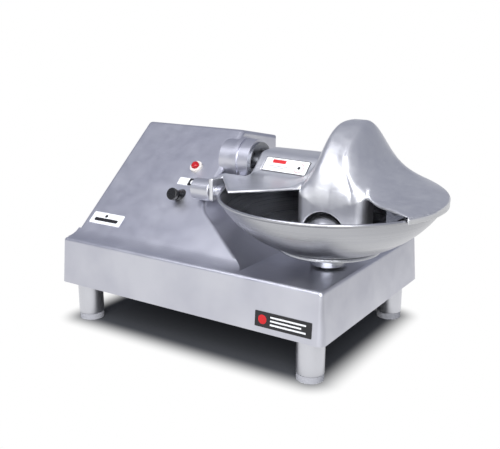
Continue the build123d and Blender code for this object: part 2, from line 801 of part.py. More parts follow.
def make_bowl():
    """Spun bowl with a beaded rim and a hollow centre cone, and its carrier."""
    centre_r, centre_z = bowl_curve_centre()
    inner = bowl_curve - bowl_wall
    inner_rim = centre_r + sqrt(inner ** 2 - (rim_z - centre_z) ** 2)
    floor_in = bowl_floor_z + bowl_wall
    inner_foot = centre_r + sqrt(inner ** 2 - (floor_in - centre_z) ** 2)

    def arc(r0, z0, r1, z1, radius):
        angle0 = atan2(z0 - centre_z, r0 - centre_r)
        angle1 = atan2(z1 - centre_z, r1 - centre_r)
        middle = (angle0 + angle1) / 2
        through = (centre_r + radius * cos(middle), 0, centre_z + radius * sin(middle))
        return ThreePointArc((r0, 0, z0), through, (r1, 0, z1))

    cap_radius = (cone_top_radius ** 2 + 8 ** 2) / 16
    cap_angle = asin(cone_top_radius / cap_radius) / 2
    cap_middle = (cap_radius * sin(cap_angle), 0, cone_top_z - cap_radius * (1 - cos(cap_angle)))
    bore = spindle_radius + 1
    lines = [
        Line((bore, 0, bowl_floor_z), (bowl_foot_radius, 0, bowl_floor_z)),
        arc(bowl_foot_radius, bowl_floor_z, bowl_radius, rim_z, bowl_curve),
        Line((bowl_radius, 0, rim_z), (inner_rim, 0, rim_z)),
        arc(inner_rim, rim_z, inner_foot, floor_in, inner),
        Line((inner_foot, 0, floor_in), (cone_radius, 0, floor_in)),
        Line((cone_radius, 0, floor_in), (cone_top_radius, 0, cone_top_z - 8)),
        ThreePointArc((cone_top_radius, 0, cone_top_z - 8), cap_middle, (0, 0, cone_top_z)),
        Line((0, 0, cone_top_z), (0, 0, spindle_top_z + 2)),
        Line((0, 0, spindle_top_z + 2), (bore, 0, spindle_top_z + 2)),
        Line((bore, 0, spindle_top_z + 2), (bore, 0, bowl_floor_z)),
    ]
    bowl = revolve(make_face(lines), Axis.Z)
    rim_middle = (bowl_radius + inner_rim) / 2
    bead = Plane(origin=(rim_middle, 0, rim_z), z_dir=(0, 1, 0)) * Circle(rim_bead)
    bowl += revolve(bead, Axis.Z)
    pieces["bowl"] = Pos(bowl_x, bowl_y, 0) * bowl
    plate_z = bowl_floor_z - carrier_plate
    plate = along_z(carrier_radius, plate_z, bowl_floor_z, bowl_x, bowl_y)
    plate = fillet(plate.edges(), 2.5)
    hub = along_z(hub_radius, deck_z + hub_gap, plate_z + 1, bowl_x, bowl_y)
    carrier = plate + hub - along_z(spindle_radius + fit_gap, deck_z, bowl_floor_z + 1, bowl_x, bowl_y)
    pieces["bowl_carrier"] = carrier


# Cover

def smooth_max(a, b, blend):
    """Larger of two heights with a soft passage between them."""
    return (a + b + sqrt((a - b) ** 2 + blend ** 2)) / 2


def ramp(value):
    """Straight rise from 0 to 1 with soft ends."""
    soft = 0.2
    return (sqrt(value ** 2 + soft ** 2) - sqrt((value - 1) ** 2 + soft ** 2) + 1) / 2


def dome_rise(x):
    """Share of the dome's full height at x."""
    if x < dome_left_x:
        return 1 / (1 + ((dome_left_x - x) / dome_left_spread) ** 4)
    return 1 / (1 + (max(x - dome_right_x, 0) / dome_right_spread) ** 2.6)


def dome_curve(y):
    """Height of the dome's front-to-back curve at y, 1 at its top."""
    if y < dome_front_y:
        reach = (dome_front_y - y) / dome_front_depth
    else:
        reach = max(y - dome_back_y, 0) / dome_back_depth
    if reach > 1:
        return -dome_fullness * (reach - 1)
    return 1 - reach ** dome_fullness


def cover_height(x, y):
    """Height of the cover's outer surface over a point of the plan."""
    dome = apron_z + (dome_top - apron_z) * dome_rise(x) * dome_curve(y)
    front = ramp((y + box_skew * (x - 320) - box_front) / box_slope)
    share = front * (1 - ramp((x - box_end) / 50)) * (1 - ramp((y - box_back + 4) / 14))
    box = apron_z + (box_top - apron_z) * share
    return smooth_max(dome, box, 8)


def cover_inside(x, y, depth=cover_wall):
    """Height of the surface that lies one wall below the cover's outer surface."""
    slope_x = cover_height(x + 0.5, y) - cover_height(x - 0.5, y)
    slope_y = cover_height(x, y + 0.5) - cover_height(x, y - 0.5)
    return cover_height(x, y) - depth * sqrt(1 + slope_x ** 2 + slope_y ** 2)


def cover_middle(x, y):
    """Height of the surface in the middle of the cover's wall."""
    return cover_inside(x, y, cover_wall / 2)


cover_stations_x = (232, 262, 290, 316, 340, 362, 382, 400, 416, 432, 448, 464, 480, 496, 512, 530, 550,
                    574, 602, 640, 680)
cover_stations_y = (-56, -20, 10, 40, 65, 85, 100, 112, 124, 136, 148, 160, 172, 184, 196, 208, 222, 236,
                    250, 264, 278, 292, 308, 336)


def mass_below(height):
    """Solid from a height surface down into the bowl."""
    sections = []
    bottom = bowl_floor_z
    for x in cover_stations_x:
        points = [(x, y, height(x, y)) for y in cover_stations_y]
        sides = Polyline(points[-1], (x, cover_stations_y[-1], bottom), (x, cover_stations_y[0], bottom),
                         points[0])
        sections.append(make_face([*Spline(*points).edges(), *sides.edges()]))
    return loft(sections)


def cover_outline():
    """Outline of the cover seen from above."""
    skirt = radians(skirt_angle)
    back = asin((box_back - bowl_y) / rim_outer)
    back_x = bowl_x - rim_outer * cos(back)
    skirt_x = bowl_x + rim_outer * cos(skirt)
    skirt_y = bowl_y + rim_outer * sin(skirt)
    middle = (skirt + pi - back) / 2
    rim = ThreePointArc((skirt_x, skirt_y),
                        (bowl_x + rim_outer * cos(middle), bowl_y + rim_outer * sin(middle)),
                        (back_x, box_back))
    lug_left = clamp_face_x + seat_gap
    edge = Polyline((back_x, box_back), (cover_left, box_back), (cover_left, lug_back_y),
                    (lug_left, lug_back_y), (lug_left, lug_back_y - 22), (lug_left + 10, lug_back_y - 22),
                    (lip_left_x, lip_left_y), (387, 71), (408, 95), (guard_left, guard_y + 1),
                    (guard_left + 8, guard_y), (guard_right - 20, guard_y), (guard_right - 3, guard_y - 5),
                    (584, 80), (618, 59), (skirt_x, skirt_y))
    return make_face([*edge.edges(), *rim.edges()])


def guard_wall():
    """Wall that goes down into the bowl in front of the knives, arched over the bowl's cone."""
    bottom = bowl_floor_z + bowl_wall + guard_bottom_gap
    width = guard_right - guard_left
    ring = RectangleRounded(width, 2 * guard_depth, guard_corner)
    ring -= RectangleRounded(width - 2 * cover_wall, 2 * (guard_depth - cover_wall), guard_corner - cover_wall)
    place = Plane(origin=((guard_left + guard_right) / 2, guard_y + guard_depth, bottom))
    wall = extrude(place * ring, amount=apron_z + 30 - bottom)
    wall &= block(guard_left, guard_right, guard_y, guard_y + guard_depth, bottom, box_top)
    drop = arch_top - bottom
    radius = (arch_half ** 2 + drop ** 2) / (2 * drop)
    arch = Plane(origin=(bowl_x, guard_y + 40, arch_top - radius), z_dir=(0, -1, 0))
    return wall - extrude(arch * Circle(radius), amount=80)


def clamp_lug():
    """Slotted lug that the clamp knob presses on."""
    start = clamp_face_x + seat_gap
    end = start + lug_thickness
    lug = block(start, end, clamp_y - lug_half, clamp_y + lug_half, lug_bottom_z, apron_z - 1)
    lug += block(start, end, clamp_y, lug_back_y, clamp_z + slot_half + 4, apron_z - 1)
    lug -= block(start - 1, end + 1, clamp_y - slot_half, clamp_y + slot_half, lug_bottom_z - 1, clamp_z)
    return lug - along_x(slot_half, start - 1, end + 1, clamp_y, clamp_z)


def hinge_lugs():
    """Two lugs from the cover's back to the hinge pin."""
    circles = [(hinge_y, hinge_z, hinge_eye_radius), (box_back, box_top - 20, 10)]
    left = hull_x(circles, hinge_inner_left, hinge_inner_left + hinge_lug)
    return left + hull_x(circles, hinge_inner_right - hinge_lug, hinge_inner_right)


def label_plane():
    """Plane of the label on the cover's sloping front face."""
    middle_y = box_front + box_slope / 2 - box_skew * (label_x - 320)
    steep = (box_top - apron_z) / box_slope
    return Plane(origin=(label_x, middle_y, (apron_z + box_top) / 2), x_dir=(1, -box_skew, 0),
                 z_dir=(-steep * box_skew, -steep, 1))


def make_cover():
    """Cover casting with guard wall, clamp lug and hinge lugs, its pin and its label."""
    outline = cover_outline()
    outer = extrude(Pos(0, 0, brim_z) * outline, amount=120) & mass_below(cover_height)
    inset = offset(outline, -cover_wall, kind=Kind.INTERSECTION)
    room = extrude(Pos(0, 0, brim_z - 1) * inset, amount=120)
    room += block(cover_left - 5, cover_left + 20, lug_back_y + cover_wall, box_back - cover_wall,
                  brim_z - 1, brim_z + 60)
    room &= mass_below(cover_inside)
    cover = outer - room
    cover += guard_wall() & mass_below(cover_middle)
    cover += clamp_lug()
    cover += hinge_lugs() - room
    pad_y = scraper_y + scraper_thickness / 2
    cover += block(scraper_x - scraper_width / 2, scraper_x + scraper_width / 2, pad_y, pad_y + scraper_pad,
                   scraper_screw_z - 7, cover_middle(scraper_x, pad_y + scraper_pad / 2))
    cover -= along_x(hinge_pin_radius + running_gap, hinge_left - 1, hinge_right + 1, hinge_y, hinge_z)
    screw_hole = Plane(origin=(scraper_x, scraper_y, scraper_screw_z), z_dir=(0, 1, 0))
    cover -= extrude(screw_hole * Circle(scraper_screw_radius + fit_gap), amount=scraper_pad)
    label = label_plane() * Rectangle(label_width, label_height)
    seat = label_plane() * Rectangle(label_width + 2 * fit_gap, label_height + 2 * fit_gap)
    cover -= extrude(seat, amount=10)
    cover -= extrude(seat, amount=-plate_thickness)
    pieces["cover"] = cover
    pieces["label_plate"] = extrude(label, amount=-plate_thickness)
    pieces["hinge_pin"] = along_x(hinge_pin_radius, hinge_left, hinge_right, hinge_y, hinge_z)


def make_clamp():
    """Clamp knob on its stud."""
    start = clamp_face_x - knob_length
    knob = along_x(knob_radius, start, clamp_face_x, clamp_y, clamp_z)
    knob = fillet(knob.edges(), 2)
    bore_start = clamp_face_x - stud_in_knob - 1
    pieces["clamp_knob"] = knob - along_x(stud_radius + running_gap, bore_start, clamp_face_x + 1,
                                          clamp_y, clamp_z)
    pieces["clamp_stud"] = along_x(stud_radius, clamp_face_x - stud_in_knob, arm_x + arm_thickness,
                                   clamp_y, clamp_z)


def make_scraper():
    """Scraper plate under the skirt, with its screw."""
    left = scraper_x - scraper_width / 2
    right = scraper_x + scraper_width / 2
    front = scraper_y - scraper_thickness / 2
    outline = [(left, scraper_bottom_z), (left, scraper_top_z), (right, scraper_top_z),
               (right, scraper_screw_z - 6)]
    plate = front_profile(outline, front, front + scraper_thickness)
    axis = Plane(origin=(scraper_x, front, scraper_screw_z), z_dir=(0, 1, 0))
    plate -= extrude(axis * Circle(scraper_screw_radius + seat_gap), amount=scraper_thickness)
    pieces["scraper"] = plate
    shank = extrude(axis * Circle(scraper_screw_radius), amount=scraper_thickness + scraper_pad - 2)
    pieces["scraper_screw"] = shank + extrude(axis * Circle(5), amount=-3)


def make_controls():
    """Lamp, push-pull switch and the plates on the panel and the base."""
    bezel = extrude(panel_plane(lamp_x, lamp_up) * Circle(lamp_bezel_radius), amount=lamp_bezel_height)
    bezel = fillet(bezel.edges().group_by(Axis.Z)[-1], 1)
    bezel += extrude(panel_plane(lamp_x, lamp_up) * Circle(lamp_body_radius), amount=-lamp_body_length)
    seat = panel_plane(lamp_x, lamp_up, -2)
    bezel -= extrude(seat * Circle(lamp_lens_radius + fit_gap), amount=20)
    lens = extrude(seat * Circle(lamp_lens_radius), amount=lamp_lens_height + 2)
    top = lens.edges().sort_by(lambda e: -(e.center() - seat.origin).dot(seat.z_dir))[0]
    pieces["lamp_lens"] = fillet(top, 4)
    pieces["lamp_bezel"] = bezel
    collar = switch_bar(switch_collar_radius, -8, switch_collar_height, switch_collar_top_radius)
    under_panel = extrude(panel_plane(switch_x, switch_up) * Rectangle(80, 80), amount=-40)
    bore = switch_bar(switch_thread_radius + fit_gap, -40, 40)
    pieces["switch_collar"] = collar - under_panel - bore
    body = switch_bar(switch_thread_radius, -switch_body_start, switch_collar_height - 1)
    angle = radians(switch_rise)
    back = Plane(origin=panel_plane(switch_x, switch_up).origin, x_dir=(1, 0, 0),
                 z_dir=(0, -cos(angle), sin(angle))).offset(-switch_body_end)
    body += extrude(back * Rectangle(switch_body_width, switch_body_width),
                    amount=switch_body_end - switch_body_start)
    body -= switch_bar(switch_stem_radius + running_gap, -switch_body_end + 8, 40)
    pieces["switch_body"] = body
    knob = switch_bar(switch_knob_radius, switch_knob_start, switch_knob_end)
    knob = fillet(knob.edges(), 1.5)
    pieces["switch_knob"] = knob + switch_bar(switch_stem_radius, -switch_body_start, switch_knob_start + 1)
    for name, x, up, width, height in (("badge_plate", badge_x, badge_up, badge_width, badge_height),
                                       ("on_off_plate", on_off_x, on_off_up, on_off_width, on_off_height)):
        plate = panel_plane(x, up) * RectangleRounded(width, height, 2)
        pieces[name] = extrude(plate, amount=plate_thickness)
    draft = radians(base_draft)
    front = Plane(origin=(front_plate_x, (front_plate_z - leg_top) * tan(draft), front_plate_z),
                  x_dir=(1, 0, 0), z_dir=(0, -cos(draft), sin(draft)))
    pieces["front_plate"] = extrude(front * Rectangle(front_plate_width, front_plate_height),
                                    amount=plate_thickness)
    make_gland()


def make_gland():
    """Cable gland in the back wall."""
    wall = Plane(origin=(gland_x, gland_y, gland_z), z_dir=(0, 1, 0))
    body = extrude(wall * RegularPolygon(gland_radius, 6), amount=8)
    body += extrude(wall * Circle(gland_radius * 0.8), amount=gland_length)
    body += extrude(wall * Circle(gland_thread_radius), amount=-12)
    pieces["cable_gland"] = body - gland_hole(gland_bore)


def export_all():
    """Moves each piece to the part's frame and writes it."""
    os.makedirs("parts", exist_ok=True)
    boxes = [piece.bounding_box() for piece in pieces.values()]
    origin_x = (min(box.min.X for box in boxes) + max(box.max.X for box in boxes)) / 2
    origin_y = (min(box.min.Y for box in boxes) + max(box.max.Y for box in boxes)) / 2
    for name, piece in pieces.items():
        moved = Pos(-origin_x, -origin_y, 0) * piece
        moved.label = name
        export_step(moved, "parts/" + name + ".step")


pieces["housing"] = make_housing()
make_base_parts()
make_motor()
make_belts()
make_knife_shaft()
make_worm_drive()
make_bowl()
make_cover()
make_clamp()
make_scraper()
make_controls()
export_all()
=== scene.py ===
import json
from math import asin, cos, hypot, pi, radians, sin, sqrt

import bpy
import numpy as np
from bpy.props import FloatProperty, FloatVectorProperty, IntProperty, PointerProperty
from bpy.types import Operator, Panel, PropertyGroup
from mathutils import Matrix, Vector

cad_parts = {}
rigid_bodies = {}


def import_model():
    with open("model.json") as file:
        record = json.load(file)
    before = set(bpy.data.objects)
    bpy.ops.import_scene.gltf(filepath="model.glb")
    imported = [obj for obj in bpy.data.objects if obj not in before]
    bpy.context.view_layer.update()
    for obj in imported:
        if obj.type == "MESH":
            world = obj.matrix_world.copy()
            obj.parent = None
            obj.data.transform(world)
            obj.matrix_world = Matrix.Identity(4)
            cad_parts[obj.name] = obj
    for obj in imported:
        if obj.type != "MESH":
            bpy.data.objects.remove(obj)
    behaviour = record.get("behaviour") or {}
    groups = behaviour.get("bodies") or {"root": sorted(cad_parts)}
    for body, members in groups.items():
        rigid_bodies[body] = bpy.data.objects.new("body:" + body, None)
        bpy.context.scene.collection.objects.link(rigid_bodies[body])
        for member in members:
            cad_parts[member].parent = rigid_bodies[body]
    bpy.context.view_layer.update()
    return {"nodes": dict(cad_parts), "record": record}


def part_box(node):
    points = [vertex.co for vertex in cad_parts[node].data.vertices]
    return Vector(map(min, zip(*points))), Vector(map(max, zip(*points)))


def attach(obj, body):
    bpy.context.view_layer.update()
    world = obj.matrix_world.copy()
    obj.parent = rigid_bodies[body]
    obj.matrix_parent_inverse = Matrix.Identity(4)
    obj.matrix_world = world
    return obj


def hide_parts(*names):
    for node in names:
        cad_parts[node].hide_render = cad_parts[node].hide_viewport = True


bl_info = {
    "name": "Meat Bowl Cutter",
    "version": (1, 0, 0),
    "blender": (4, 5, 0),
    "location": "View3D > Sidebar > Bowl Cutter",
    "description": "Finishes the castings, bowl, controls and stage of a bench bowl cutter",
    "category": "Object",
}

# The frame. Drawing sizes are in millimetres from the base's front left corner on the floor.
for leftover in list(bpy.data.objects):
    bpy.data.objects.remove(leftover)
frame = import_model()
nodes = frame["nodes"]
MM = 0.001
drawing_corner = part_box("housing")[0]


def place(x, y, z):
    """Point of the drawing, in millimetres, as a point of the frame in metres."""
    return Vector((drawing_corner.x + x * MM, drawing_corner.y + y * MM, z * MM))


def drawn_box(node):
    """Lowest and highest corner of a node in drawing millimetres."""
    low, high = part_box(node)
    shift = Vector((drawing_corner.x, drawing_corner.y, 0))
    return (low - shift) / MM, (high - shift) / MM


# Sizes read from the frame
bowl_low, bowl_high = drawn_box("bowl")
hinge_low, hinge_high = drawn_box("hinge_pin")
knob_low, knob_high = drawn_box("clamp_knob")
screw_low, screw_high = drawn_box("scraper_screw")
cover_low, cover_high = drawn_box("cover")
bowl_x = (bowl_low.x + bowl_high.x) / 2
bowl_y = (bowl_low.y + bowl_high.y) / 2
hinge_y = (hinge_low.y + hinge_high.y) / 2
hinge_z = (hinge_low.z + hinge_high.z) / 2
clamp_y = (knob_low.y + knob_high.y) / 2
clamp_z = (knob_low.z + knob_high.z) / 2
clamp_face_x = knob_high.x

# Colours and finishes


def hex_colour(text):
    """Linear colour with alpha from an sRGB hex value."""
    parts = [int(text[i:i + 2], 16) / 255 for i in (1, 3, 5)]
    linear = [p / 12.92 if p <= 0.04045 else ((p + 0.055) / 1.055) ** 2.4 for p in parts]
    return (*linear, 1.0)


def add_node(tree, kind, inputs=None, **settings):
    """Adds one node, with its settings and with values or links for its inputs."""
    node = tree.nodes.new(kind)
    for name, value in settings.items():
        setattr(node, name, value)
    for socket, source in (inputs or {}).items():
        if isinstance(source, bpy.types.NodeSocket):
            tree.links.new(source, node.inputs[socket])
        else:
            node.inputs[socket].default_value = source
    return node


def per_mm(size):
    """Texture scale whose features are size millimetres apart."""
    return 1000.0 / size


def new_finish(name, colour, metallic, roughness, ior=1.5, clear=0.0, stretch=(1, 1, 1), round_bowl=False,
               drift=None, gloss=None, relief=None):
    """Material whose colour, roughness and relief follow noise of a real size.

    drift is (size, first colour, second colour), gloss is (size, detail, lowest, highest roughness) and
    relief is (size, detail, depth, strength). Sizes and depths are in millimetres. A small stretch draws
    the noise out along an axis, and round_bowl lays it in rings round the bowl's axis.
    """
    material = bpy.data.materials.new(name)
    material.use_nodes = True
    tree = material.node_tree
    shader = tree.nodes["Principled BSDF"]
    plain = {"Base Color": hex_colour(colour), "Metallic": metallic, "Roughness": roughness, "IOR": ior,
             "Transmission Weight": clear}
    for socket, value in plain.items():
        shader.inputs[socket].default_value = value
    spot = add_node(tree, "ShaderNodeTexCoord").outputs["Object"]
    if round_bowl:
        axis = place(bowl_x, bowl_y, 0)
        moved = add_node(tree, "ShaderNodeMapping", {"Vector": spot, "Location": (-axis.x, -axis.y, 0)})
        flat = add_node(tree, "ShaderNodeVectorMath", {0: moved.outputs[0], 1: (1, 1, 0)},
                        operation="MULTIPLY")
        radius = add_node(tree, "ShaderNodeVectorMath", {0: flat.outputs[0]}, operation="LENGTH")
        height = add_node(tree, "ShaderNodeSeparateXYZ", {0: spot})
        vector = add_node(tree, "ShaderNodeCombineXYZ", {"X": radius.outputs["Value"],
                                                         "Y": height.outputs["Z"]}).outputs[0]
    else:
        vector = add_node(tree, "ShaderNodeVectorMath", {0: spot, 1: stretch},
                          operation="MULTIPLY").outputs[0]
    noise_middle = {"From Min": 0.35, "From Max": 0.65}
    if drift:
        size, first, second = drift
        noise = add_node(tree, "ShaderNodeTexNoise", {"Vector": vector, "Scale": per_mm(size), "Detail": 3.0})
        share = add_node(tree, "ShaderNodeMapRange", {"Value": noise.outputs["Fac"], **noise_middle})
        mixed = add_node(tree, "ShaderNodeMix", {0: share.outputs[0], 6: hex_colour(first),
                                                 7: hex_colour(second)}, data_type="RGBA")
        tree.links.new(mixed.outputs[2], shader.inputs["Base Color"])
    if gloss:
        size, detail, low, high = gloss
        noise = add_node(tree, "ShaderNodeTexNoise", {"Vector": vector, "Scale": per_mm(size),
                                                      "Detail": detail})
        level = add_node(tree, "ShaderNodeMapRange", {"Value": noise.outputs["Fac"], **noise_middle,
                                                      "To Min": low, "To Max": high})
        tree.links.new(level.outputs[0], shader.inputs["Roughness"])
    if relief:
        size, detail, depth, strength = relief
        noise = add_node(tree, "ShaderNodeTexNoise", {"Vector": vector, "Scale": per_mm(size),
                                                      "Detail": detail})
        bump = add_node(tree, "ShaderNodeBump", {"Height": noise.outputs["Fac"], "Strength": strength,
                                                 "Distance": depth * MM})
        tree.links.new(bump.outputs[0], shader.inputs["Normal"])
    return material


# Blasting grain, lathe rings and grinding lines are drawn coarser than real ones, so that they show
materials = {
    # Cast aluminium, ground and bead blasted: cool grey, soft wide highlights, faint cloudy tone
    "blasted_aluminium": new_finish(
        "blasted_cast_aluminium", "#c9cad3", 1.0, 0.4, drift=(90, "#c3c4ce", "#cfd0d8"),
        gloss=(24, 3.0, 0.36, 0.44), relief=(0.9, 2.0, 0.05, 0.25)),
    # Cast aluminium, vibratory polished: brighter than the base, with a slight cloudy waviness
    "polished_aluminium": new_finish(
        "polished_cast_aluminium", "#dcdde0", 1.0, 0.4, drift=(60, "#d9dade", "#e3e4e6"),
        gloss=(12, 3.0, 0.36, 0.44), relief=(1.2, 2.0, 0.04, 0.2)),
    # Turned aluminium bar of the legs and the clamp knob: fine rings across the bar, even tone
    "turned_aluminium": new_finish(
        "turned_aluminium", "#cfd0d6", 1.0, 0.34, stretch=(0.02, 0.02, 1),
        gloss=(0.7, 2.0, 0.29, 0.4), relief=(0.7, 2.0, 0.03, 0.3)),
    # Stainless steel sheet, spun and brushed in the lathe: fine rings round the bowl's axis
    "spun_stainless": new_finish(
        "spun_stainless_steel", "#c2c3c6", 1.0, 0.28, round_bowl=True, drift=(9, "#b3b4b9", "#bbbcc0"),
        gloss=(0.8, 3.0, 0.26, 0.34), relief=(0.8, 3.0, 0.02, 0.1)),
    # Ground stainless steel of the knives and scraper: short straight grinding lines
    "ground_stainless": new_finish(
        "ground_stainless_steel", "#b9bbc0", 1.0, 0.26, stretch=(0.03, 1, 1),
        gloss=(0.6, 2.0, 0.2, 0.34), relief=(0.6, 2.0, 0.02, 0.3)),
    # Plain machined steel of shafts, pulleys and screws: darker, with fine tool marks
    "machined_steel": new_finish(
        "machined_steel", "#8f9195", 1.0, 0.32, stretch=(1, 0.05, 0.05), gloss=(0.6, 2.0, 0.26, 0.4)),
    # Cast and cut bronze of the worm wheel and bush: warm brown metal, slightly dull
    "gear_bronze": new_finish("gear_bronze", "#b5894f", 1.0, 0.35, drift=(8, "#ad8149", "#be935a")),
    # Moulded chloroprene of belts and seals: near black, matt, with a fine grain
    "belt_rubber": new_finish(
        "chloroprene_rubber", "#1c1c1d", 0.0, 0.75, 1.52, relief=(0.8, 3.0, 0.1, 0.4)),
    # Moulded grey polyamide of the feet: matt, light grey like the legs
    "foot_plastic": new_finish(
        "moulded_foot_plastic", "#b4b5bb", 0.0, 0.5, 1.53, relief=(0.7, 3.0, 0.05, 0.3)),
    # Moulded phenolic of the switch and gland: black, half gloss, very slight orange peel
    "black_plastic": new_finish(
        "black_phenolic", "#141416", 0.0, 0.28, 1.55, gloss=(1.5, 3.0, 0.24, 0.36),
        relief=(1.5, 3.0, 0.04, 0.2)),
    # Moulded polyamide of the lamp's bezel: warm off-white, satin
    "bezel_plastic": new_finish(
        "off_white_polyamide", "#d9d5cf", 0.0, 0.4, 1.53, relief=(0.9, 3.0, 0.03, 0.2)),
    # Red acrylic of the pilot lamp's lens: deep clear red with a glossy skin
    "lamp_red": new_finish(
        "red_acrylic", "#c5121c", 0.0, 0.12, 1.49, clear=0.25, drift=(6, "#b50d17", "#d6202a")),
    # Enamelled sheet of the pale plates: white, smooth satin
    "plate_white": new_finish("white_enamel_plate", "#eceef0", 0.0, 0.35, gloss=(20, 3.0, 0.3, 0.4)),
    # Anodised sheet of the front plate and black fields: black, smooth satin
    "plate_black": new_finish("black_anodised_plate", "#17171a", 0.0, 0.35, gloss=(15, 3.0, 0.3, 0.42)),
    # Screen-printed red ink on the plates: flat and slightly glossy
    "print_red": new_finish("red_print", "#c32026", 0.0, 0.4, gloss=(8, 3.0, 0.34, 0.44)),
}

# Packed material slots and the finish each one gets
slot_finish = {
    "cast_aluminium": "blasted_aluminium",
    "leg_aluminium": "turned_aluminium",
    "foot_plastic": "foot_plastic",
    "stainless": "ground_stainless",
    "steel": "machined_steel",
    "bronze": "gear_bronze",
    "belt_rubber": "belt_rubber",
    "black_plastic": "black_plastic",
    "pale_bezel": "bezel_plastic",
    "red_lens": "lamp_red",
    "pale_plate": "plate_white",
    "dark_plate": "plate_black",
}

# Nodes whose finish differs from the rest of their slot
node_finish = {"clamp_knob": "turned_aluminium"}

# Mesh helpers

# A mesh point may leave its start by this share of a step, in so many rounds of so long a move
settling_reach, settling_rounds, longest_move = 0.45, 3, 0.4
# Half the distance over which a field's slope is read, and the least square of a slope
probe, least_steepness = 0.15, 0.25


def mesh_object(name, points, faces, finishes, smooth=True):
    """Object from points in metres and faces, with its materials; it stays at the origin."""
    mesh = bpy.data.meshes.new(name)
    mesh.from_pydata([tuple(p) for p in points], [], faces)
    mesh.update()
    if smooth:
        mesh.shade_smooth()
    piece = bpy.data.objects.new(name, mesh)
    bpy.context.scene.collection.objects.link(piece)
    for finish in finishes:
        mesh.materials.append(materials[finish])
    return piece


def stand_for(piece, slot, body, *replaced):
    """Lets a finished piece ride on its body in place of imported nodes."""
    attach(piece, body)
    if replaced:
        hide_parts(*replaced)


def round_and(a, b, radius):
    """Intersection of two distance fields with a rounded edge."""
    corner = np.hypot(np.maximum(a + radius, 0), np.maximum(b + radius, 0))
    return np.minimum(-radius, np.maximum(a, b)) + corner


def round_or(a, b, radius):
    """Union of two distance fields with a hollow fillet."""
    corner = np.hypot(np.maximum(radius - a, 0), np.maximum(radius - b, 0))
    return np.maximum(radius, np.minimum(a, b)) - corner


def slab(value, low, high):
    """Distance to the space between two levels."""
    return np.abs(value - (low + high) / 2) - (high - low) / 2


def arc_points(centre, radius, start, end, count):
    """Points of an arc given by its angles."""
    return [(centre[0] + radius * cos(a), centre[1] + radius * sin(a))
            for a in np.linspace(start, end, count)]


def polygon_distance(x, y, corners):
    """Signed distance to a closed outline, negative inside."""
    x, y = np.broadcast_arrays(x, y)
    nearest = np.full(x.shape, np.inf)
    inside = np.zeros(x.shape, bool)
    for (ax, ay), (bx, by) in zip(corners, corners[1:] + corners[:1]):
        dx, dy = bx - ax, by - ay
        along = np.clip(((x - ax) * dx + (y - ay) * dy) / (dx * dx + dy * dy), 0, 1)
        nearest = np.minimum(nearest, (x - ax - along * dx) ** 2 + (y - ay - along * dy) ** 2)
        if ay != by:
            crosses = ((ay > y) != (by > y)) & (x < ax + (y - ay) / dy * dx)
            inside ^= crosses
    return np.where(inside, -1, 1) * np.sqrt(nearest)


def tapered_bar(y, z, start, start_radius, end, end_radius):
    """Distance in the YZ plane to the hull of two circles."""
    length = hypot(end[0] - start[0], end[1] - start[1])
    uy, uz = (end[0] - start[0]) / length, (end[1] - start[1]) / length
    along = (y - start[0]) * uy + (z - start[1]) * uz
    across = np.abs((y - start[0]) * uz - (z - start[1]) * uy)
    lean = (start_radius - end_radius) / length
    flat = sqrt(1 - lean * lean)
    level = along * flat - across * lean
    side = across * flat + along * lean - start_radius
    at_start = np.hypot(across, along) - start_radius
    at_end = np.hypot(across, along - length) - end_radius
    return np.where(level < 0, at_start, np.where(level > flat * length, at_end, side))


def rounded_rectangle(u, v, half_u, half_v, radius):
    """Distance to a rectangle with round corners."""
    du, dv = np.abs(u) - half_u + radius, np.abs(v) - half_v + radius
    return np.hypot(np.maximum(du, 0), np.maximum(dv, 0)) + np.minimum(np.maximum(du, dv), 0) - radius


def skin(field, low, high, step):
    """Closed quad mesh, in drawing millimetres, on the zero level of a distance field."""
    axes = [np.arange(a, b + step, step) for a, b in zip(low, high)]
    value = field(axes[0][:, None, None], axes[1][None, :, None], axes[2][None, None, :]).astype(np.float32)
    inside = value < 0
    cells = np.array(value.shape) - 1
    total = np.zeros((cells.prod(), 3))
    count = np.zeros(cells.prod(), int)
    edges = []
    for axis in range(3):
        u, v = (axis + 1) % 3, (axis + 2) % 3
        first = tuple(slice(0, -1) if i == axis else slice(None) for i in range(3))
        second = tuple(slice(1, None) if i == axis else slice(None) for i in range(3))
        found = np.argwhere(inside[first] != inside[second])
        within = (found[:, u] > 0) & (found[:, v] > 0)
        found = found[within & (found[:, u] < cells[u]) & (found[:, v] < cells[v])]
        a = value[first][tuple(found.T)]
        b = value[second][tuple(found.T)]
        point = found.astype(float)
        point[:, axis] += a / (a - b)
        around = []
        for du, dv in ((-1, -1), (0, -1), (0, 0), (-1, 0)):
            cell = found.copy()
            cell[:, u] += du
            cell[:, v] += dv
            flat = np.ravel_multi_index(tuple(cell.T), tuple(cells))
            around.append(flat)
            np.add.at(total, flat, point)
            np.add.at(count, flat, 1)
        quads = np.stack(around, 1)
        turned = a >= 0
        quads[turned] = quads[turned][:, ::-1]
        edges.append(quads)
    used = np.flatnonzero(count)
    number = np.full(len(count), -1)
    number[used] = np.arange(len(used))
    points = np.array(low) + total[used] / count[used][:, None] * step
    quads = number[np.concatenate(edges)]
    start, reach = points, settling_reach * step
    for _ in range(settling_rounds):
        points = start + np.clip(settled(field, points, step) - start, -reach, reach)
    return points, quads


def settled(field, points, step):
    """Moves points along the field's slope onto its zero level."""
    x, y, z = points.T
    value = field(x, y, z)
    slope = np.stack([(field(x + probe, y, z) - field(x - probe, y, z)) / (2 * probe),
                      (field(x, y + probe, z) - field(x, y - probe, z)) / (2 * probe),
                      (field(x, y, z + probe) - field(x, y, z - probe)) / (2 * probe)], 1)
    steepness = np.maximum((slope ** 2).sum(1), least_steepness)
    move = np.clip(value / steepness, -longest_move * step, longest_move * step)
    return points - slope * move[:, None]


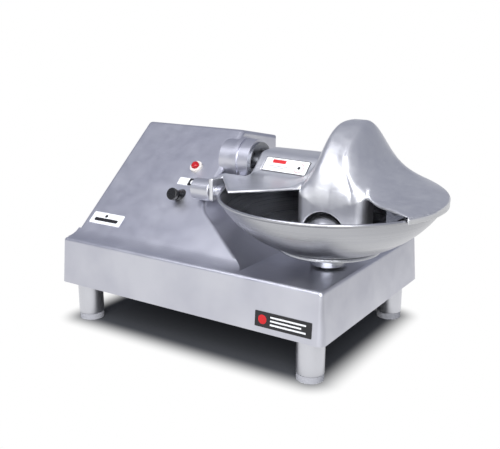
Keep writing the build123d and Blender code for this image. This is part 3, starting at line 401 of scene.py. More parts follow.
def cast_piece(name, field, low, high, step, finishes):
    """Mesh object of a casting given as a distance field in drawing millimetres."""
    points, quads = skin(field, low, high, step)
    shift = np.array([drawing_corner.x, drawing_corner.y, 0])
    return mesh_object(name, points * MM + shift, quads.tolist(), finishes)


# Cover casting

cover_wall = 4.5
brim_z = 273.4
apron_z = brim_z + 0.6 + cover_wall
cover_left = 306.0
edge_radius, inner_ease = 3.5, 1.5

# Low left part with the sloping label face
box_top, box_front, box_slope, box_back, box_end = 315.5, 169.0, 33.0, 262.0, 430.0
box_skew, box_skew_x = 0.1, 320.0
box_end_run, box_back_lead, box_back_run = 50.0, 4.0, 14.0
label_x, label_width, label_height, label_margin, label_corner = 370.0, 92.0, 28.0, 1.0, 2.0
doorway_out, doorway_in = 5.0, 20.0

# Dome over the knives
dome_top, dome_left_x, dome_right_x = 378.0, 477.0, 486.0
dome_left_spread, dome_left_taper, dome_right_spread = 46.0, 0.5, 42.0
dome_left_power, dome_right_power = 4.0, 2.3
dome_front_y, dome_back_y, dome_front_depth, dome_back_depth = 222.0, 232.0, 122.0, 85.0
dome_fullness = 2.4
crease_width, crease_rise = 8.0, 12.0

# Crease beside the dome's crest, along a line of the plan
ridge_line_y = (96.0, 112.0, 126.0, 140.0, 160.0)
ridge_line_x = (534.0, 524.0, 508.0, 499.0, 497.0)
ridge_depth, ridge_edge, ridge_run = 8.0, 1.8, 18.0
ridge_front, ridge_front_run, ridge_back, ridge_back_run = 100.0, 18.0, 225.0, 80.0

# Skirt over the bowl's right rear, and the lip round the rim
rim_outer = (bowl_high.x - bowl_low.x) / 2 + 4.2
skirt_angle = radians(-27.5)
skirt_droop, skirt_start, skirt_run, skirt_left, skirt_fade = 5.0, 140.0, 43.0, 470.0, 60.0
rim_steps = 90
rim_lip_wall, rim_lip_bottom, rim_lip_left = 3.0, 264.0, 362.0

# Guard wall, its arch, its brim and the rounded passage from it to the dome
guard_y, guard_left, guard_right, guard_corner, guard_depth = 106.0, 431.0, 551.0, 16.0, 36.0
guard_bottom = bowl_low.z + 10.0
guard_brim_z, guard_brim_run = 250.0, 26.0
arch_half, arch_top = 38.0, 247.0
roll_radius, roll_x, roll_half = 20.0, 489.0, 66.0
roll_front, roll_front_run, roll_back, roll_back_run = 84.0, 20.0, 160.0, 30.0

# Clamp lug, hinge lugs and the scraper's pad
clamp_gap = 0.3
lug_back_y, lug_half, lug_bottom_z, lug_thickness, slot_half = 150.0, 16.0, 239.0, 8.4, 6.5
lug_front_depth, lug_front_width, slot_drop = 22.0, 10.0, 30.0
hinge_lug_radius, hinge_root_radius, hinge_bore = 13.0, 10.0, 6.1
hinge_lug_inset, hinge_lug_thickness = 12.5, 13.0
pad_half, pad_under, pad_back, pad_front = 14.0, 7.0, 2.0, 6.0

# Radii of edges and of the fillets where pieces of the casting meet
brim_edge, seat_edge = 0.8, 0.5
guard_root, lip_root, lug_root, hinge_root, pad_root = 0.6, 1.5, 2.0, 3.0, 2.0


def smooth_max(a, b, blend):
    """Larger of two heights with a soft passage between them."""
    return (a + b + np.sqrt((a - b) ** 2 + blend ** 2)) / 2


def ramp(value):
    """Straight rise from 0 to 1 with soft ends."""
    soft = 0.2
    return (np.sqrt(value ** 2 + soft ** 2) - np.sqrt((value - 1) ** 2 + soft ** 2) + 1) / 2


def dome_rise(x, y):
    """Share of the dome's full height; its left flank is steeper towards the front."""
    forward = np.clip((dome_front_y - y) / dome_front_depth, 0, 1)
    left = np.maximum(dome_left_x - x, 0) / (dome_left_spread * (1 - dome_left_taper * forward))
    right = np.maximum(x - dome_right_x, 0) / dome_right_spread
    return 1 / (1 + left ** dome_left_power + right ** dome_right_power)


def dome_curve(y):
    """Height of the dome's front-to-back curve at y, 1 at its top."""
    front = np.maximum(dome_front_y - y, 0) / dome_front_depth
    back = np.maximum(y - dome_back_y, 0) / dome_back_depth
    reach = np.maximum(front, back)
    return np.where(reach > 1, -dome_fullness * (reach - 1), 1 - reach ** dome_fullness)


def cover_height(x, y):
    """Height of the cover's outer surface over a point of the plan."""
    dome = (dome_top - apron_z) * dome_rise(x, y) * dome_curve(y)
    front = ramp((y + box_skew * (x - box_skew_x) - box_front) / box_slope)
    end = 1 - ramp((x - box_end) / box_end_run)
    back = 1 - ramp((y - box_back + box_back_lead) / box_back_run)
    box = (box_top - apron_z) * (front * end * back)
    from_axis = np.hypot(x - bowl_x, y - bowl_y)
    droop = skirt_droop * np.clip((from_axis - skirt_start) / skirt_run, 0, 1) ** 2
    droop = droop * np.clip((x - skirt_left) / skirt_fade, 0, 1)
    ridge_x = np.interp(y, ridge_line_y, ridge_line_x)
    depth = ridge_depth * np.clip((y - ridge_front) / ridge_front_run, 0, 1)
    depth = depth * np.clip((ridge_back - y) / ridge_back_run, 0, 1)
    groove = depth / (1 + np.exp((x - ridge_x) / ridge_edge))
    groove = groove * np.exp(-np.maximum(ridge_x - x, 0) / ridge_run)
    top = np.maximum(np.maximum(dome, box), 0)
    blend = crease_width * top / (top + crease_rise)
    return apron_z + smooth_max(dome, box, blend) - droop - groove


def cover_outline():
    """Outline of the cover seen from above, with the rim's arc in short steps."""
    back = asin((box_back - bowl_y) / rim_outer)
    rim = arc_points((bowl_x, bowl_y), rim_outer, skirt_angle, pi - back, rim_steps)
    lug_left, lug_front = clamp_face_x + clamp_gap, lug_back_y - lug_front_depth
    front = [(cover_left, box_back), (cover_left, lug_back_y), (lug_left, lug_back_y), (lug_left, lug_front),
             (lug_left + lug_front_width, lug_front), (350, 35), (387, 71), (408, 95)]
    corner_y = guard_y + guard_corner
    left = arc_points((guard_left + guard_corner, corner_y), guard_corner, pi, pi * 1.5, 7)
    right = arc_points((guard_right - guard_corner, corner_y), guard_corner, pi * 1.5, pi * 1.9, 6)
    return rim + front + left + right + [(584, 80), (618, 59)]


def guard_plan(x, y):
    """Distance in plan to the space that the guard wall goes round."""
    middle_x, half = (guard_left + guard_right) / 2, (guard_right - guard_left) / 2
    return rounded_rectangle(x - middle_x, y - guard_y - guard_depth, half, guard_depth, guard_corner)


def guard_field(x, y, z):
    """Guard wall that goes down into the bowl, arched over the bowl's middle."""
    wall = np.abs(guard_plan(x, y) + cover_wall / 2) - cover_wall / 2
    wall = round_and(wall, y - guard_y - guard_depth, 1.0)
    wall = round_and(wall, guard_bottom - z, 1.5)
    drop = arch_top - guard_bottom
    radius = (arch_half ** 2 + drop ** 2) / (2 * drop)
    arch = radius - np.hypot(x - bowl_x, z - arch_top + radius)
    return round_and(wall, arch, 1.5)


def lug_field(x, y, z):
    """Slotted lug under the clamp knob and its root on the apron."""
    start = clamp_face_x + clamp_gap
    plate = np.maximum(slab(y, clamp_y - lug_half, clamp_y + lug_half), slab(z, lug_bottom_z, apron_z - 1))
    root = np.maximum(slab(y, clamp_y, lug_back_y), slab(z, clamp_z + slot_half + 4, apron_z - 1))
    slot = rounded_rectangle(y - clamp_y, z - clamp_z + slot_drop, slot_half, slot_drop + slot_half,
                             slot_half)
    lug = round_and(np.minimum(plate, root), slab(x, start, start + lug_thickness), 1.2)
    return round_and(lug, -slot, 1.0)


def hinge_field(x, y, z):
    """Two lugs from the cover's back down to the hinge pin."""
    bar = tapered_bar(y, z, (hinge_y, hinge_z), hinge_lug_radius, (box_back, box_top - 20), hinge_root_radius)
    far = hinge_lug_inset + hinge_lug_thickness
    left = slab(x, hinge_low.x + hinge_lug_inset, hinge_low.x + far)
    right = slab(x, hinge_high.x - far, hinge_high.x - hinge_lug_inset)
    return round_and(bar, np.minimum(left, right), 1.5)


def scraper_pad_field(x, y, z):
    """Pad under the skirt that the scraper is screwed to."""
    middle_x = (screw_low.x + screw_high.x) / 2
    middle_z = (screw_low.z + screw_high.z) / 2
    side = slab(x, middle_x - pad_half, middle_x + pad_half)
    deep = slab(y, screw_high.y - pad_front, screw_high.y + pad_back)
    return round_and(round_and(side, deep, 1.5), slab(z, middle_z - pad_under, apron_z), 1.5)


def label_frame():
    """Centre and the three directions of the label's seat on the sloping face."""
    middle_y = box_front + box_slope / 2 - box_skew * (label_x - box_skew_x)
    steep = (box_top - apron_z) / box_slope
    along = Vector((1, -box_skew, 0)).normalized()
    out = Vector((-steep * box_skew, -steep, 1)).normalized()
    return Vector((label_x, middle_y, (apron_z + box_top) / 2)), along, out.cross(along), out


def label_seat_field(x, y, z):
    """Flat seat cut for the label plate."""
    centre, *directions = label_frame()
    u, v, rise = [(x - centre.x) * d.x + (y - centre.y) * d.y + (z - centre.z) * d.z for d in directions]
    seat = rounded_rectangle(u, v, label_width / 2 + label_margin, label_height / 2 + label_margin,
                             label_corner)
    return round_and(seat, -rise, seat_edge)


def cover_field(x, y, z):
    """Distance field of the whole cover casting."""
    height = cover_height(x, y)
    slope_x = cover_height(x + 0.5, y) - cover_height(x - 0.5, y)
    slope_y = cover_height(x, y + 0.5) - cover_height(x, y - 0.5)
    above = (z - height) / np.sqrt(1 + slope_x ** 2 + slope_y ** 2)
    plan = polygon_distance(x, y, cover_outline())
    near_guard = (np.clip(1 - np.abs(x - roll_x) / roll_half, 0, 1) ** 0.5
                  * np.clip((roll_back - y) / roll_back_run, 0, 1))
    soft = edge_radius + roll_radius * near_guard * np.clip((y - roll_front) / roll_front_run, 0, 1)
    skin_top = round_and(above, plan, soft)
    over_guard = (guard_plan(x, y) < 0) & (y < guard_y + guard_brim_run)
    outer = round_and(skin_top, np.where(over_guard, guard_brim_z, brim_z) - z, brim_edge)
    doorway = np.maximum(slab(x, cover_left - doorway_out, cover_left + doorway_in),
                         slab(y, lug_back_y + cover_wall, box_back - cover_wall))
    room = round_and(above + cover_wall, np.minimum(plan + cover_wall, doorway), soft - inner_ease)
    shell = round_and(outer, -room, brim_edge)
    shell = round_or(shell, np.maximum(guard_field(x, y, z), skin_top), guard_root)
    from_axis = np.hypot(x - bowl_x, y - bowl_y)
    lip = slab(from_axis, rim_outer - rim_lip_wall, rim_outer)
    lip = round_and(lip, slab(z, rim_lip_bottom, apron_z), 1.0)
    lip = np.maximum(np.maximum(lip, skin_top), rim_lip_left - x)
    shell = round_or(shell, lip, lip_root)
    shell = round_or(shell, lug_field(x, y, z), lug_root)
    shell = round_or(shell, np.maximum(hinge_field(x, y, z), -room), hinge_root)
    pad = np.maximum(scraper_pad_field(x, y, z), above + cover_wall / 2)
    shell = round_or(shell, pad, pad_root)
    shell = round_and(shell, hinge_bore - np.hypot(y - hinge_y, z - hinge_z), seat_edge)
    return round_and(shell, -label_seat_field(x, y, z), seat_edge)


class CoverSettings(PropertyGroup):
    """Sizes of the cover's mesh."""
    step: FloatProperty(name="Mesh Step", description="Distance between the mesh's points, in millimetres",
                        default=1.8, min=1.2, max=6.0)
    quick_step: FloatProperty(name="Quick Step", description="Coarser step for trials, in millimetres",
                              default=3.0, min=1.2, max=8.0)


class BOWLCUTTER_OT_cover(Operator):
    """Makes the cover casting with its guard wall, lugs and even wall"""
    bl_idname = "bowlcutter.cover"
    bl_label = "Cover Casting"

    def execute(self, context):
        settings = context.scene.bowlcutter_cover
        step = settings.step
        margin = 3 * step  # empty cells all round, so that the mesh closes
        low = [v - margin for v in (cover_low.x, cover_low.y, guard_bottom)]
        high = [v + margin for v in cover_high]
        piece = cast_piece("cover_casting", cover_field, low, high, step, ["polished_aluminium"])
        stand_for(piece, "cast_aluminium", "cover", "cover")
        return {"FINISHED"}


# Bowl

# Flat under the bowl, and the round-topped post in its middle
bowl_hub, bowl_foot = 30.0, 80.0
post_radius, post_shoulder, post_top, post_fillet = 38.0, 216.0, 243.0, 9.0
# Angles by which the side's arc stops short of the foot and the bead, and the bead's opening
foot_trim, rim_trim, bead_opening = 0.005, 0.012, 0.6
# The bead lies outwards by this share of half the sheet
bead_share = 0.9
side_points, bead_points, fillet_points, cap_points = 48, 20, 10, 20


class BowlSettings(PropertyGroup):
    """Sizes of the spun bowl."""
    bead: FloatProperty(name="Rim Bead", description="Radius of the rolled rim", default=2.4 * MM,
                        subtype="DISTANCE", unit="LENGTH")
    wall: FloatProperty(name="Wall", description="Thickness of the spun sheet", default=3.0 * MM,
                        subtype="DISTANCE", unit="LENGTH")
    curve: FloatProperty(name="Side Curve", description="Radius of the bowl's side", default=168.0 * MM,
                         subtype="DISTANCE", unit="LENGTH")
    turns: IntProperty(name="Turns", description="Points round the bowl", default=256, min=32)


def lathe(name, outline, x, y, turns, finishes):
    """Closed turned piece from an outline of (radius, z) that runs from axis to axis."""
    points, faces = [], []
    rings = []
    for radius, z in outline:
        if radius < 1e-6:
            rings.append([len(points)])
            points.append(place(x, y, z))
            continue
        rings.append(list(range(len(points), len(points) + turns)))
        for i in range(turns):
            angle = 2 * pi * i / turns
            points.append(place(x + radius * cos(angle), y + radius * sin(angle), z))
    for low, high in zip(rings, rings[1:]):
        for i in range(turns):
            j = (i + 1) % turns
            if len(low) == 1:
                faces.append((low[0], high[j], high[i]))
            elif len(high) == 1:
                faces.append((low[i], low[j], high[0]))
            else:
                faces.append((low[i], low[j], high[j], high[i]))
    return mesh_object(name, points, faces, finishes)


def bowl_outline(settings):
    """Section of the bowl from the axis below, out over the rim and back to the top of its post."""
    bead, wall, curve = settings.bead / MM, settings.wall / MM, settings.curve / MM
    floor, rim_z = bowl_low.z, bowl_high.z - bead
    radius = (bowl_high.x - bowl_low.x) / 2
    outer = radius - bead + wall / 2 * bead_share
    dr, dz = outer - bowl_foot, rim_z - floor
    chord = hypot(dr, dz)
    lift = sqrt(curve ** 2 - chord ** 2 / 4)
    centre = ((outer + bowl_foot) / 2 - lift * dz / chord, (rim_z + floor) / 2 + lift * dr / chord)

    def angle_at(r, z):
        return np.arctan2(z - centre[1], r - centre[0])

    inner = curve - wall
    floor_in = floor + wall
    inner_foot = centre[0] + sqrt(inner ** 2 - (floor_in - centre[1]) ** 2)
    inner_rim = centre[0] + sqrt(inner ** 2 - (rim_z - centre[1]) ** 2)
    points = [(0, floor), (bowl_hub, floor), (bowl_foot - 2, floor)]
    points += arc_points(centre, curve, angle_at(bowl_foot, floor) + foot_trim,
                         angle_at(outer, rim_z) - rim_trim, side_points)
    points += arc_points(((outer + inner_rim) / 2, rim_z), bead, -pi / 2 + bead_opening,
                         pi * 3 / 2 - bead_opening, bead_points)
    points += arc_points(centre, inner, angle_at(inner_rim, rim_z) - rim_trim,
                         angle_at(inner_foot, floor_in), side_points)
    points += arc_points((post_radius + post_fillet, floor_in + post_fillet), post_fillet, -pi / 2, -pi,
                         fillet_points)
    drop = post_top - post_shoulder
    cap = (post_radius ** 2 + drop ** 2) / (2 * drop)
    points += arc_points((0, post_top - cap), cap, pi / 2 - asin(post_radius / cap), pi / 2, cap_points)
    points[-1] = (0, post_top)
    return points


class BOWLCUTTER_OT_bowl(Operator):
    """Turns the spun bowl with its rolled rim and round-topped post"""
    bl_idname = "bowlcutter.bowl"
    bl_label = "Spun Bowl"

    def execute(self, context):
        settings = context.scene.bowlcutter_bowl
        piece = lathe("spun_bowl", bowl_outline(settings), bowl_x, bowl_y, settings.turns, ["spun_stainless"])
        stand_for(piece, "stainless", "turntable", "bowl")
        return {"FINISHED"}


# Plates, each a thin sheet with plain printed fields

# Slope of the control panel and draft of the base's front
panel_slope, front_draft = radians(40.4), radians(4.3)
# Thickness of a plate, and the level inside it that printed fields start from
plate_depth, print_root = 0.8, 0.7


def disc_outline(u, v, radius, count=32):
    """Corner points of a disc."""
    return arc_points((u, v), radius, 0, 2 * pi * (count - 1) / count, count)


def rounded_outline(u0, u1, v0, v1, radius, count=5):
    """Corner points of a rectangle with round corners, counterclockwise."""
    middles = ((u1 - radius, v1 - radius, 0), (u0 + radius, v1 - radius, pi / 2),
               (u0 + radius, v0 + radius, pi), (u1 - radius, v0 + radius, pi * 1.5))
    return [p for u, v, a in middles for p in arc_points((u, v), radius, a, a + pi / 2, count)]


def sheet_piece(name, node, finishes, axes, fields, slot="pale_plate", body="base"):
    """Plate made of flat fields stacked outwards; each is an outline, two levels and a finish number."""
    centre, along, up, out = axes
    points, faces, numbers = [], [], []
    for outline, low, high, number in fields:
        first, count = len(points), len(outline)
        for level in (low, high):
            points += [place(*(centre + along * u + up * v + out * level)) for u, v in outline]
        faces.append(tuple(range(first + count, first + 2 * count)))
        faces.append(tuple(reversed(range(first, first + count))))
        faces += [(first + i, first + (i + 1) % count, first + count + (i + 1) % count, first + count + i)
                  for i in range(count)]
        numbers += [number] * (count + 2)
    piece = mesh_object(name, points, faces, finishes, False)
    piece.data.polygons.foreach_set("material_index", numbers)
    stand_for(piece, slot, body, node)


def panel_axes(node):
    """Centre and directions of a plate that lies on the sloping panel."""
    low, high = drawn_box(node)
    up = Vector((0, cos(panel_slope), sin(panel_slope)))
    out = Vector((0, -sin(panel_slope), cos(panel_slope)))
    return (low + high) / 2 - out * (plate_depth / 2), Vector((1, 0, 0)), up, out


class PlateSettings(PropertyGroup):
    """Relief of the printed plates."""
    print_rise: FloatProperty(name="Print Rise", description="Height of the printed fields",
                              default=0.05 * MM, subtype="DISTANCE", unit="LENGTH")


class BOWLCUTTER_OT_plates(Operator):
    """Makes the badge, the on-off plate, the front plate and the cover's label"""
    bl_idname = "bowlcutter.plates"
    bl_label = "Plates"

    def execute(self, context):
        rise = context.scene.bowlcutter_plates.print_rise / MM
        inks = ["plate_white", "plate_black", "print_red"]
        top = plate_depth + rise
        white, black, red = range(3)
        sheet_piece("badge", "badge_plate", inks, panel_axes("badge_plate"),
                    [(rounded_outline(-36.7, 36.7, -12.5, 12.5, 2), 0, plate_depth, white),
                     (rounded_outline(-28, 28, -6.5, 0.5, 2.5), print_root, top, black),
                     (disc_outline(-4, 5.4, 3.4, 24), print_root, top, black)])
        sheet_piece("on_off_sheet", "on_off_plate", inks, panel_axes("on_off_plate"),
                    [(rounded_outline(-21.3, 21.3, -8.2, 8.2, 2), 0, plate_depth, white),
                     (rounded_outline(1.5, 21.2, -8.1, 8.1, 1.8), print_root, top, black),
                     (disc_outline(11.3, 0, 5.2, 24), plate_depth, top + rise, white)])
        low, high = drawn_box("front_plate")
        up = Vector((0, sin(front_draft), cos(front_draft)))
        out = Vector((0, -cos(front_draft), sin(front_draft)))
        axes = ((low + high) / 2 - out * (plate_depth / 2), Vector((1, 0, 0)), up, out)
        fields = [(rounded_outline(-49.4, 49.4, -12.4, 12.4, 1), 0, plate_depth, black),
                  (disc_outline(-36, 0, 7.5), print_root, top, red)]
        fields += [(rounded_outline(-22, end, v - 1.4, v + 1.4, 0.6), print_root, top, white)
                   for v, end in ((6, 40), (0, 32), (-6, 40))]
        sheet_piece("front_sheet", "front_plate", inks, axes, fields, "dark_plate")
        centre, along, up, out = label_frame()
        half_u, half_v = label_width / 2, label_height / 2
        sheet_piece("label_sheet", "label_plate", inks, (centre + out * 0.1, along, up, out),
                    [(rounded_outline(-half_u, half_u, -half_v, half_v, 2), -0.8, 0.4, black),
                     (rounded_outline(1 - half_u, half_u - 1, 1 - half_v, half_v - 1, 1.5), 0.3, 0.5, white),
                     (rounded_outline(-30, -2, 3, 10, 1), 0.4, 0.6, red),
                     (rounded_outline(-36, 6, -3.4, -2.7, 0.3), 0.4, 0.6, black),
                     (rounded_outline(-30, 8, -6.4, -5.7, 0.3), 0.4, 0.6, black),
                     (disc_outline(28, -1, 9.5), 0.4, 0.6, red), (disc_outline(28, -1, 8.6), 0.5, 0.7, white),
                     (disc_outline(28, -1, 3.0, 16), 0.6, 0.8, black)], body="cover")
        return {"FINISHED"}


# Repeated fasteners and feet, instanced by geometry nodes

# Feet, kept a hair below the legs, each with a thin plug into its leg
foot_radius, foot_clearance = 22.0, 0.1
plug_inset, plug_length = 3.0, 0.05
# Bottom cover's screws: radius and height of the head, radius of the shank, place of the side pair
screw_radius, screw_head, screw_shank = 4.5, 3.0, 2.4
side_screw_y = 235.6


class RepeatSettings(PropertyGroup):
    """Counts of the instanced pieces."""
    sides: IntProperty(name="Sides", description="Points round each turned shape", default=48, min=12, max=96)
    seed: IntProperty(name="Seed", description="Fixed seed of the small turns", default=7)


def repeat_group(finish):
    """Node group that sets a headed turned shape on every point and turns each a little."""
    group = bpy.data.node_groups.new("headed_set", "GeometryNodeTree")
    sockets = {}
    face = group.interface
    face.new_socket("Geometry", in_out="INPUT", socket_type="NodeSocketGeometry")
    for name in ("Head Radius", "Head Height", "Shank Radius", "Shank Length"):
        socket = face.new_socket(name, in_out="INPUT", socket_type="NodeSocketFloat")
        socket.subtype = "DISTANCE"
        sockets[name] = socket.identifier
    for name in ("Sides", "Seed"):
        sockets[name] = face.new_socket(name, in_out="INPUT", socket_type="NodeSocketInt").identifier
    face.new_socket("Geometry", in_out="OUTPUT", socket_type="NodeSocketGeometry")
    given = add_node(group, "NodeGroupInput").outputs

    def bar(radius, depth):
        body = add_node(group, "GeometryNodeMeshCylinder", {"Vertices": given["Sides"], "Radius": radius,
                                                            "Depth": depth}).outputs["Mesh"]
        half = add_node(group, "ShaderNodeMath", {0: depth, 1: 0.5}, operation="MULTIPLY").outputs[0]
        lift = add_node(group, "ShaderNodeCombineXYZ", {"Z": half}).outputs[0]
        return add_node(group, "GeometryNodeTransform", {"Geometry": body, "Translation": lift}).outputs[0]

    head = bar(given["Head Radius"], given["Head Height"])
    deeper = add_node(group, "ShaderNodeMath", {0: given["Shank Length"], 1: given["Head Height"]}).outputs[0]
    shank = bar(given["Shank Radius"], deeper)
    join = add_node(group, "GeometryNodeJoinGeometry")
    group.links.new(shank, join.inputs[0])
    group.links.new(head, join.inputs[0])
    turn = add_node(group, "FunctionNodeRandomValue", {"Seed": given["Seed"]}, data_type="FLOAT")
    turn.inputs[3].default_value = 1.0
    spin = add_node(group, "ShaderNodeCombineXYZ", {"Z": turn.outputs[1]}).outputs[0]
    spread = add_node(group, "GeometryNodeInstanceOnPoints", {"Points": given["Geometry"],
                                                              "Instance": join.outputs[0], "Rotation": spin})
    real = add_node(group, "GeometryNodeRealizeInstances", {"Geometry": spread.outputs[0]}).outputs[0]
    dressed = add_node(group, "GeometryNodeSetMaterial", {"Geometry": real, "Material": materials[finish]})
    add_node(group, "NodeGroupOutput", {"Geometry": dressed.outputs[0]})
    return group, sockets


def repeated(name, node, slot, body, finish, places, sizes, settings):
    """Plain mesh of a headed shape on every place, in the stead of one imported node."""
    points = mesh_object(name + "_points", [place(*p) for p in places], [], [], False)
    group, sockets = repeat_group(finish)
    modifier = points.modifiers.new("repeat", "NODES")
    modifier.node_group = group
    values = dict(zip(("Head Radius", "Head Height", "Shank Radius", "Shank Length"), sizes))
    values = {key: value * MM for key, value in values.items()}
    values.update({"Sides": settings.sides, "Seed": settings.seed})
    for key, value in values.items():
        modifier[sockets[key]] = value
    seen = points.evaluated_get(bpy.context.evaluated_depsgraph_get())
    mesh = bpy.data.meshes.new_from_object(seen)
    points.modifiers.remove(modifier)
    bpy.data.objects.remove(points)
    piece = bpy.data.objects.new(name, mesh)
    bpy.context.scene.collection.objects.link(piece)
    stand_for(piece, slot, body, node)


class BOWLCUTTER_OT_repeated(Operator):
    """Sets the feet and the bottom cover's screws on their places"""
    bl_idname = "bowlcutter.repeated"
    bl_label = "Feet And Screws"

    def execute(self, context):
        settings = context.scene.bowlcutter_repeat
        low, high = drawn_box("feet")
        places = [(x, y, 0) for x in (low.x + foot_radius, high.x - foot_radius)
                  for y in (low.y + foot_radius, high.y - foot_radius)]
        repeated("foot_set", "feet", "foot_plastic", "base", "foot_plastic", places,
                 (foot_radius, high.z - low.z - foot_clearance, foot_radius - plug_inset, plug_length),
                 settings)
        low, high = drawn_box("bottom_cover_screws")
        middle_x = (low.x + high.x) / 2
        places = [(middle_x, low.y + screw_radius, low.z), (middle_x, high.y - screw_radius, low.z),
                  (low.x + screw_radius, side_screw_y, low.z), (high.x - screw_radius, side_screw_y, low.z)]
        repeated("bottom_screw_set", "bottom_cover_screws", "steel", "base", "machined_steel", places,
                 (screw_radius, screw_head, screw_shank, high.z - low.z - screw_head), settings)
        return {"FINISHED"}


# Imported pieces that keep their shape

class BOWLCUTTER_OT_packed_pieces(Operator):
    """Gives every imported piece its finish"""
    bl_idname = "bowlcutter.packed_pieces"
    bl_label = "Packed Pieces"

    def execute(self, context):
        for part in frame["record"]["subparts"]:
            mesh = nodes[part["node"]].data
            mesh.materials.clear()
            finish = node_finish.get(part["node"], slot_finish[part["material_slot"]])
            mesh.materials.append(materials[finish])
        return {"FINISHED"}


# Stage

floor_half = 60.0
# Metres from the feet's box to where the shade starts to fade, and the fade's width
shade_inset, shade_fade = 0.02, 0.06
# The white floor dims for reflections on the machine's right, between two places along x
dim_start, dim_end, dim_level = 0.3, 0.6, 0.68
# The camera's place in the drawing and its angles, fitted to the base's corners
camera_place, camera_heading, camera_pitch, camera_roll = (993.26, -890.84, 526.05), 33.0, 15.02, 0.17


class StageSettings(PropertyGroup):
    """Colour and light of the studio."""
    # The floor's dark matt colour is painted shade: it shows only under and round the machine, where the
    # floor does not glow white
    painted_shade_floor_colour: FloatVectorProperty(name="Floor", description="Colour of the floor in the machine's shade",
                                      subtype="COLOR", size=4, default=hex_colour("#4a4c50"), min=0, max=1)
    key_power: FloatProperty(name="Key Power", description="Power of the left softbox in watts",
                             default=8.0, unit="POWER")
    fill_power: FloatProperty(name="Fill Power", description="Power of the front softbox in watts",
                              default=56.0, unit="POWER")
    lens: FloatProperty(name="Lens", description="Focal length for the photograph's frame, in millimetres",
                        default=53.06, unit="CAMERA")


def softbox(name, where, target, size, power, tone):
    """Area lamp turned to a point, hidden from the camera."""
    light = bpy.data.lights.new(name, "AREA")
    light.shape = "RECTANGLE"
    light.size, light.size_y = size
    light.energy = power
    light.color = hex_colour(tone)[:3]
    lamp = bpy.data.objects.new(name, light)
    lamp.location = where
    lamp.rotation_euler = (Vector(target) - Vector(where)).to_track_quat("-Z", "Y").to_euler()
    lamp.visible_camera = False
    bpy.context.scene.collection.objects.link(lamp)


def studio_world():
    """Room that is white at the horizon and grey higher up, as polished metal sees it."""
    world = bpy.data.worlds.new("studio")
    bpy.context.scene.world = world
    world.use_nodes = True
    tree = world.node_tree
    direction = add_node(tree, "ShaderNodeTexCoord").outputs["Generated"]
    height = add_node(tree, "ShaderNodeSeparateXYZ", {0: direction}).outputs["Z"]
    shades = add_node(tree, "ShaderNodeValToRGB", {0: height})
    stops = ((0.0, "#ffffff"), (0.06, "#ffffff"), (0.2, "#9a9dab"), (0.5, "#a0a3b1"), (0.85, "#b6b8c4"),
             (1.0, "#b6b8c4"))
    ramp_points = shades.color_ramp.elements
    while len(ramp_points) < len(stops):
        ramp_points.new(0.5)
    for point, (level, tone) in zip(ramp_points, stops):
        point.position = level
        point.color = hex_colour(tone)
    tree.links.new(shades.outputs[0], tree.nodes["Background"].inputs["Color"])
    tree.nodes["Background"].inputs["Strength"].default_value = 1.0


def floor_finish(colour):
    """Matt floor whose dark colour is painted shade under and round the machine, and that shows plain white
    away from it.
    """
    material = bpy.data.materials.new("studio_floor")
    material.use_nodes = True
    tree = material.node_tree
    tree.nodes.clear()
    # Dark matt colour: painted shade, seen only under and round the machine
    matt = add_node(tree, "ShaderNodeBsdfDiffuse", {"Color": colour})
    rays = add_node(tree, "ShaderNodeLightPath")
    seen = add_node(tree, "ShaderNodeMath", {0: rays.outputs["Is Camera Ray"],
                                             1: rays.outputs["Is Glossy Ray"]}, operation="MAXIMUM")
    seen = add_node(tree, "ShaderNodeMath", {0: seen.outputs[0], 1: rays.outputs["Is Transmission Ray"]},
                    operation="MAXIMUM")
    spot = add_node(tree, "ShaderNodeTexCoord").outputs["Object"]
    low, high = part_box("feet")
    half = (high - low) / 2
    near = (half.x - shade_inset, half.y - shade_inset, 1)
    past = add_node(tree, "ShaderNodeVectorMath", {0: spot, 1: (low + high) / 2}, operation="SUBTRACT")
    past = add_node(tree, "ShaderNodeVectorMath", {0: past.outputs[0]}, operation="ABSOLUTE")
    past = add_node(tree, "ShaderNodeVectorMath", {0: past.outputs[0], 1: near}, operation="SUBTRACT")
    past = add_node(tree, "ShaderNodeVectorMath", {0: past.outputs[0], 1: (0, 0, 0)}, operation="MAXIMUM")
    away = add_node(tree, "ShaderNodeVectorMath", {0: past.outputs[0]}, operation="LENGTH").outputs["Value"]
    fade = add_node(tree, "ShaderNodeMapRange", {"Value": away, "From Min": 0.0, "From Max": shade_fade},
                    interpolation_type="SMOOTHSTEP").outputs[0]
    share = add_node(tree, "ShaderNodeMath", {0: fade, 1: seen.outputs[0]}, operation="MULTIPLY").outputs[0]
    across = add_node(tree, "ShaderNodeSeparateXYZ", {0: spot}).outputs["X"]
    dim = add_node(tree, "ShaderNodeMapRange", {"Value": across, "From Min": dim_start, "From Max": dim_end,
                                                "To Min": 1.0, "To Max": dim_level}).outputs[0]
    strength = add_node(tree, "ShaderNodeMath", {0: dim, 1: rays.outputs["Is Camera Ray"]},
                        operation="MAXIMUM").outputs[0]
    glow = add_node(tree, "ShaderNodeEmission", {"Color": hex_colour("#ffffff"), "Strength": strength})
    mixed = add_node(tree, "ShaderNodeMixShader", {0: share, 1: matt.outputs[0], 2: glow.outputs[0]})
    add_node(tree, "ShaderNodeOutputMaterial", {"Surface": mixed.outputs[0]})
    return material


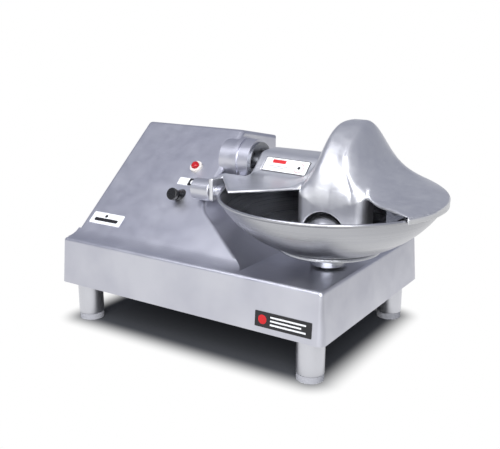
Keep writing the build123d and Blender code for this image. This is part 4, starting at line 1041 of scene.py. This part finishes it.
def photograph_camera(lens):
    """Camera at the photograph's place and angle."""
    heading, pitch, roll = radians(camera_heading), radians(camera_pitch), radians(camera_roll)
    forward = Vector((-sin(heading) * cos(pitch), cos(heading) * cos(pitch), -sin(pitch)))
    right = Vector((cos(heading), sin(heading), 0))
    up = right.cross(forward)
    side = cos(roll) * right + sin(roll) * up
    top = cos(roll) * up - sin(roll) * right
    data = bpy.data.cameras.new("camera")
    data.lens = lens
    data.sensor_width = 36
    camera = bpy.data.objects.new("camera", data)
    camera.matrix_world = Matrix.Translation(place(*camera_place)) @ Matrix(
        (side, top, -forward)).transposed().to_4x4()
    bpy.context.scene.collection.objects.link(camera)
    bpy.context.scene.camera = camera


class BOWLCUTTER_OT_stage(Operator):
    """Sets the floor, the softboxes, the room's light and the camera"""
    bl_idname = "bowlcutter.stage"
    bl_label = "Stage"

    def execute(self, context):
        settings = context.scene.bowlcutter_stage
        corners = [(floor_half * x, floor_half * y, 0) for x, y in ((-1, -1), (1, -1), (1, 1), (-1, 1))]
        floor = mesh_object("studio_floor", corners, [(0, 1, 2, 3)], [], False)
        floor.data.materials.append(floor_finish(tuple(settings.painted_shade_floor_colour)))
        studio_world()
        softbox("key_softbox", (-0.45, -1.0, 1.6), (0, 0, 0.15), (0.9, 0.9), settings.key_power, "#fbfbff")
        softbox("front_softbox", (0.75, -1.7, 1.3), (0, 0, 0.25), (2.0, 1.4), settings.fill_power, "#ffffff")
        photograph_camera(settings.lens)
        context.scene.view_settings.view_transform = "Standard"
        return {"FINISHED"}


class BOWLCUTTER_PT_sidebar(Panel):
    """Lists the pieces of the bowl cutter"""
    bl_idname = "BOWLCUTTER_PT_sidebar"
    bl_label = "Bowl Cutter"
    bl_space_type = "VIEW_3D"
    bl_region_type = "UI"
    bl_category = "Bowl Cutter"

    def draw(self, context):
        column = self.layout.column()
        for piece in operators:
            column.operator(piece.bl_idname)
        for name in settings_groups:
            group = getattr(context.scene, name)
            for field in group.bl_rna.properties:
                if field.identifier not in ("rna_type", "name"):
                    column.prop(group, field.identifier)


operators = (BOWLCUTTER_OT_packed_pieces, BOWLCUTTER_OT_cover, BOWLCUTTER_OT_bowl, BOWLCUTTER_OT_plates,
             BOWLCUTTER_OT_repeated, BOWLCUTTER_OT_stage)
settings_groups = {
    "bowlcutter_cover": CoverSettings,
    "bowlcutter_bowl": BowlSettings,
    "bowlcutter_plates": PlateSettings,
    "bowlcutter_repeat": RepeatSettings,
    "bowlcutter_stage": StageSettings,
}


def register():
    """Registers the settings, the operators and the panel."""
    for name, group in settings_groups.items():
        bpy.utils.register_class(group)
        setattr(bpy.types.Scene, name, PointerProperty(type=group))
    for piece in (*operators, BOWLCUTTER_PT_sidebar):
        bpy.utils.register_class(piece)


def unregister():
    """Removes what register added."""
    for piece in (BOWLCUTTER_PT_sidebar, *reversed(operators)):
        bpy.utils.unregister_class(piece)
    for name, group in settings_groups.items():
        delattr(bpy.types.Scene, name)
        bpy.utils.unregister_class(group)


def main():
    """Makes every piece in order."""
    register()
    for piece in operators:
        group, action = piece.bl_idname.split(".")
        getattr(getattr(bpy.ops, group), action)()


if __name__ == "__main__":
    main()
